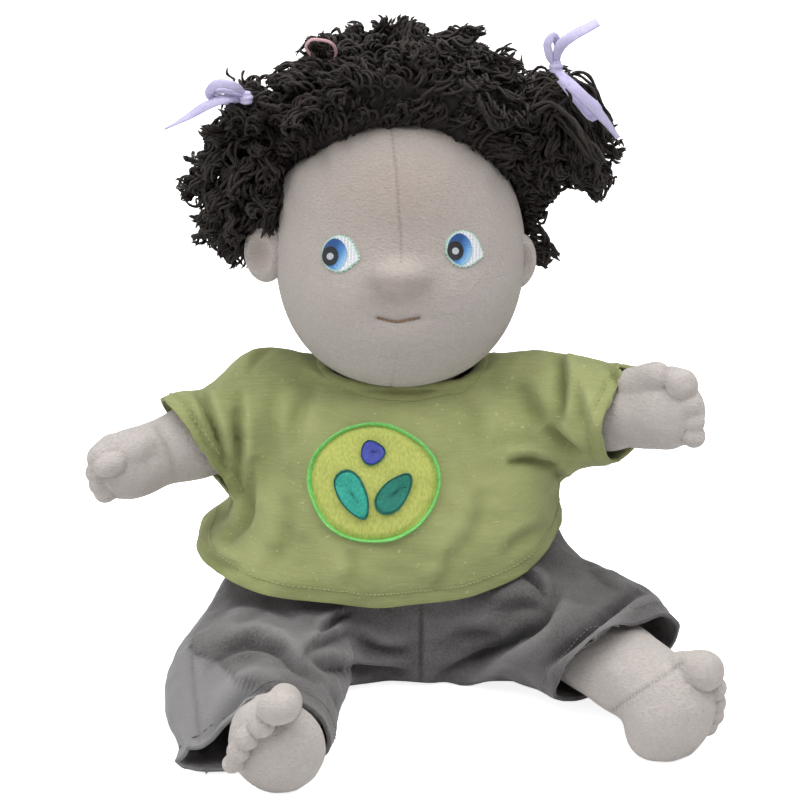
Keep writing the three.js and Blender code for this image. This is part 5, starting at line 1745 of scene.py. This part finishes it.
def side_seam(points, faces):
    """Height of the side seam over the right leg's own line, as a curve through what the camera sees."""
    near = pixel_gap(points, SIDE_SEAM)
    seen = (near < 2) & (normals_of(points, faces) @ CAMERA_WAY > 0.15) & (points[:, 0] < -20)
    q = local(points[seen], leg_frame("right"))
    return np.polyfit(q[:, 0], q[:, 2], 2), q[:, 0].min(), q[:, 0].max()


def beside_seam(points, curve):
    """How far points lie under the side seam, on the outside of the leg only."""
    shape, low, high = curve
    q = local(points, leg_frame("right"))
    under = np.polyval(shape, np.clip(q[:, 0], low, high)) - q[:, 2]
    return np.where((q[:, 1] > 0) & (points[:, 0] < -5), under, -99.0)


def make_trousers(velour, thread):
    points, faces = surface(trouser_field, (-106, -134, -3), (128, 60, 74), 1.65, polish=2, relax=1)
    points, faces = trim(points, triangles(faces), points[:, 2] - 66)
    waves = 0.8 * wobble(points, 30, 12) + 0.35 * wobble(points, 12, 13)
    points = points + normals_of(points, faces) * waves[:, None]
    points, fold = creased(points, faces, TROUSER_FOLDS)
    # painted shade: the left leg's cloth is made darker all over through the fold layer
    fold = fold - 0.35 * smoothstep(points[:, 0], 5, 45)
    curve = side_seam(points, faces)
    points = pulled(sagged(points), TROUSER_PULLS)
    points[:, 2] = np.maximum(points[:, 2], 0.15)
    tree = tree_of(points, faces)
    points = np.hstack([points, fold[:, None]])
    for name in SIDES:
        q = local(points[:, :3], leg_frame(name))
        close = (points[:, 0] * SIDES[name] > 5) & (points[:, 1] < -25)
        points, faces = trim(points, faces, np.where(close, q[:, 0] - leg_end(name, q), -9.0))
        points, faces = largest(points, faces)
    points = even_rim(points, faces)
    points, fold = points[:, :3], points[:, 3]
    sheet = np.hstack([points, normals_of(points, faces), fold[:, None]])
    beyond = {name: (points - at) @ way for name, (at, way) in GROIN.items()}

    def marks(_, p):
        panel = smoothstep(beside_seam(p, curve), -0.3, 0.3) * (1 - smoothstep(p[:, 1], -10, 25))
        return {"seam": seam_marks(p, curve), "panel": panel}

    for name, part in cut_apart(sheet, faces, beyond).items():
        side_names = (f"{name}_trouser_velour", f"{name}_trouser_leg")
        names = side_names if name else ("trousers_velour_seat", "trousers_seat")
        sew(names, part, velour, marks, name, GROIN, 42)
        if not name:
            continue
        place = leg_frame(name)
        axis = (place[0] + np.array([0, 0, 2.0]), place[1])

        def hem_at(c, s, hit, name=name, place=place):
            q = np.array([0, 30 * c, 18 * s]) if hit is None else local(hit[None], place)[0]
            return leg_end(name, q) - LEG_HEM

        spots, ways = ring_on(tree, axis, hem_at, 92, reach=48)
        stitch_row(f"{name}_trouser_stitches", spots, ways, 0.28, thread, f"{name}_leg")


def seam_marks(points, curve):
    total = np.exp(-((beside_seam(points, curve) / 0.55) ** 2))
    for line in (FRONT_SEAM, GROIN_SEAM):
        total += np.exp(-((pixel_gap(points, line) / 1.3) ** 2)) * (points[:, 1] < -30)
    return 0.85 * np.clip(total, 0, 1)


TIES = {"left": (57.5, 16, 238), "right": (-60.5, 16, 228)}
WAIST_LOW, WAIST_HIGH = 54, 60
HAIR_LOOP = [  # column, row, depth
    (318, 62, -2), (310, 54, -6), (306, 46, -9), (311, 40, -10),
    (321, 40, -10), (331, 43, -8), (336, 51, -5), (334, 62, -1),
]


def make_elastics(looks):
    """The waist's elastic, the bunches' ties and the loose loop in the hair."""
    dark = looks["elastic"]
    angle = np.linspace(0, 2 * math.pi, 181)
    c, s = np.cos(angle), np.sin(angle)
    wide, deep, middle = (float(v) for v in trunk_table(np.array(58.0)))
    x = (wide + 1.0) * np.sign(c) * np.abs(c) ** (2 / 2.3)
    y = middle + (deep + 1.0) * np.sign(s) * np.abs(s) ** (2 / 2.3)
    wave = 0.15 * np.sin(60 * angle)
    paths = [np.stack([x, y, z + wave], -1) for z in np.linspace(WAIST_LOW, WAIST_HIGH, 7)]
    points, faces = tubes(np.array(paths), 0.75, 6)
    piece("waist_band", points, faces, dark, "torso", ["waist_elastic"])
    for name, tie in TIES.items():
        coil = []
        for k in range(3):
            size = 10.5 + 0.4 * k
            ring = np.stack([(k - 1) * 2.0 + 0.8 * np.sin(angle + k), size * c, size * s], -1)
            coil.append(ring @ turned(1, -SIDES[name] * 25).T + tie)
        points, faces = tubes(np.array(coil), 1.25 * (1 + 0.1 * np.sin(40 * angle)), 8)
        piece(f"{name}_bunch_elastic", points, faces, dark, "head", [f"{name}_bunch_tie"])

    path = spline([at_pixel(*knot) for knot in HAIR_LOOP], 40)
    points, faces = tubes(path[None], 0.62, 10)
    pink = looks["pink"]
    loop = piece("hair_elastic_loop", points, faces, pink, "head", ["hair_loop"])
    to_frame(path[0])
    to_frame(path)


# by column, row and depth: the knot, then each strip's line with its width, facing, twist and ends' widths
RIBBONS = {
    "right": ((246, 98, -7), [
        (
            [(246, 97, -6), (234, 86, -12), (216, 84, -14), (209, 94, -12), (222, 101, -9), (246, 99, -5)],
            3.6, (0, -1, 0.2), 0.3, (0.6, 0.6),
        ),
        (
            [(244, 99, -6), (238, 92, -9), (226, 90, -11), (214, 92, -12), (226, 97, -10), (242, 101, -6)],
            3.4, (0, -0.5, 1), -0.4, (0.6, 0.6),
        ),
        (
            [(240, 96, -6), (224, 99, -12), (206, 106, -14), (186, 118, -14), (165, 129, -13)],
            3.8, (0.3, -1, 0.5), 0.5, (0.8, 0.3),
        ),
    ]),
    "left": ((556, 67, -6), [
        (
            [(555, 66, -5), (549, 54, -9), (548, 42, -10), (553, 36, -9), (558, 46, -7), (557, 66, -4)],
            3.4, (0, -1, 0.3), 0.4, (0.6, 0.6),
        ),
        (
            [(556, 62, -6), (562, 44, -11), (574, 35, -12), (587, 28, -11), (598, 22, -10)],
            4.4, (0.3, -1, 0.4), -0.6, (0.5, 0.9),
        ),
        (
            [(556, 68, -6), (566, 80, -12), (582, 96, -14), (597, 112, -13), (594, 116, -11), (578, 101, -10),
             (560, 80, -5)],
            4.8, (0.3, -1, 0.3), 0.3, (0.7, 0.7),
        ),
        (
            [(558, 72, -7), (574, 88, -14), (592, 106, -15), (606, 122, -14), (618, 138, -12)],
            4.6, (0.2, -1, 0.4), 0.7, (0.7, 0.5),
        ),
    ]),
}
RIBBON_THICK = 0.35
KNOT_SIZE = (2.8, 2.4, 3.0)


def strip(knots, wide, face, twist, ends):
    """A thin strip of satin along a spline, a little rounded across, and narrower at its ends."""
    path = spline([at_pixel(*k) for k in knots], 48)
    way = unit(np.gradient(path, axis=0))
    t = np.linspace(0, 1, len(path))
    across = unit(np.cross(way, np.asarray(face, float)))
    angle = (twist * t)[:, None]
    across = across * np.cos(angle) + np.cross(way, across) * np.sin(angle)
    normal = np.cross(across, way)
    first = ends[0] + (1 - ends[0]) * smoothstep(t, 0, 0.25)
    last = ends[1] + (1 - ends[1]) * smoothstep(1 - t, 0, 0.5)
    half = (wide / 2 * first * last)[:, None]
    rows = [path + across * half * k + normal * 0.35 * (1 - k * k) for k in np.linspace(-1, 1, 7)]
    quads = grid_quads(len(path), len(rows), closed=False)[:, [0, 3, 2, 1]]
    return thickened(np.stack(rows, 1).reshape(-1, 3), quads, RIBBON_THICK)[:2]


def make_ribbons(satin):
    for name, (knot, strips) in RIBBONS.items():
        knot_at = at_pixel(*knot)

        def knot_field(p, knot_at=knot_at):
            return egg(p, knot_at, np.eye(3), KNOT_SIZE) + 0.25 * np.sin(p[:, 2] * 3)

        made = [strip(*s) for s in strips]
        made.append(surface(knot_field, knot_at - 4, knot_at + 4, 0.6, polish=1, relax=1))
        starts = np.cumsum([0] + [len(points) for points, _ in made])
        faces = [tuple(int(i) + start for i in f) for start, (_, some) in zip(starts, made) for f in some]
        points = np.concatenate([points for points, _ in made])
        ribbon = f"{name}_ribbon_satin"
        piece(ribbon, points, faces, satin, "head", [f"{name}_ribbon"])


# Run
make_camera()
make_floor()
make_world()
make_lights()
skin = skin_look()
looks = {
    "elastic": thread_look("elastic_dark", "2a2522", "4a423d", 0.6),
    "pink": thread_look("elastic_pink", "b98b92", "d9b3b6", 0.5),
    "felt": thread_look("badge_felt", "a9b15a", "c3c86e", 0.9, shine=0.9),
    "edge": thread_look("badge_edge", "58b84e", "90dc80", 0.5),
    "outline": thread_look("badge_outline", "0d4f43", "1c7263", 0.5),
    "light": thread_look("badge_teal_light", "23907f", "3bb3a1", 0.6),
    "dark": thread_look("badge_teal_dark", "17695b", "268473", 0.6),
    "blue": thread_look("badge_blue", "303a94", "4c58b8", 0.5),
}
make_elastics(looks)
head_points, head_quads = make_head(skin)
make_ears(skin)
face = tree_of(head_points, head_quads)
make_eyes(face)
make_mouth(face)
yarn = yarn_look()
make_scalp(yarn)
make_curls(yarn)
make_ribbons(satin_look())
make_trunk(skin)
for side in SIDES:
    make_arm(side, skin)
    make_leg(side, skin)
jersey = jersey_look()
rib = jersey_look("shirt_rib", "868c5c", "a3a771")
shirt = make_shirt(jersey, rib, thread_look("shirt_thread", "8d9361", "b0b381", 0.4))
make_badge(shirt, looks)
make_trousers(trouser_look(), thread_look("trouser_thread", "5a5757", "7d7979", 0.4))

bpy.context.scene.view_settings.view_transform = "Standard"
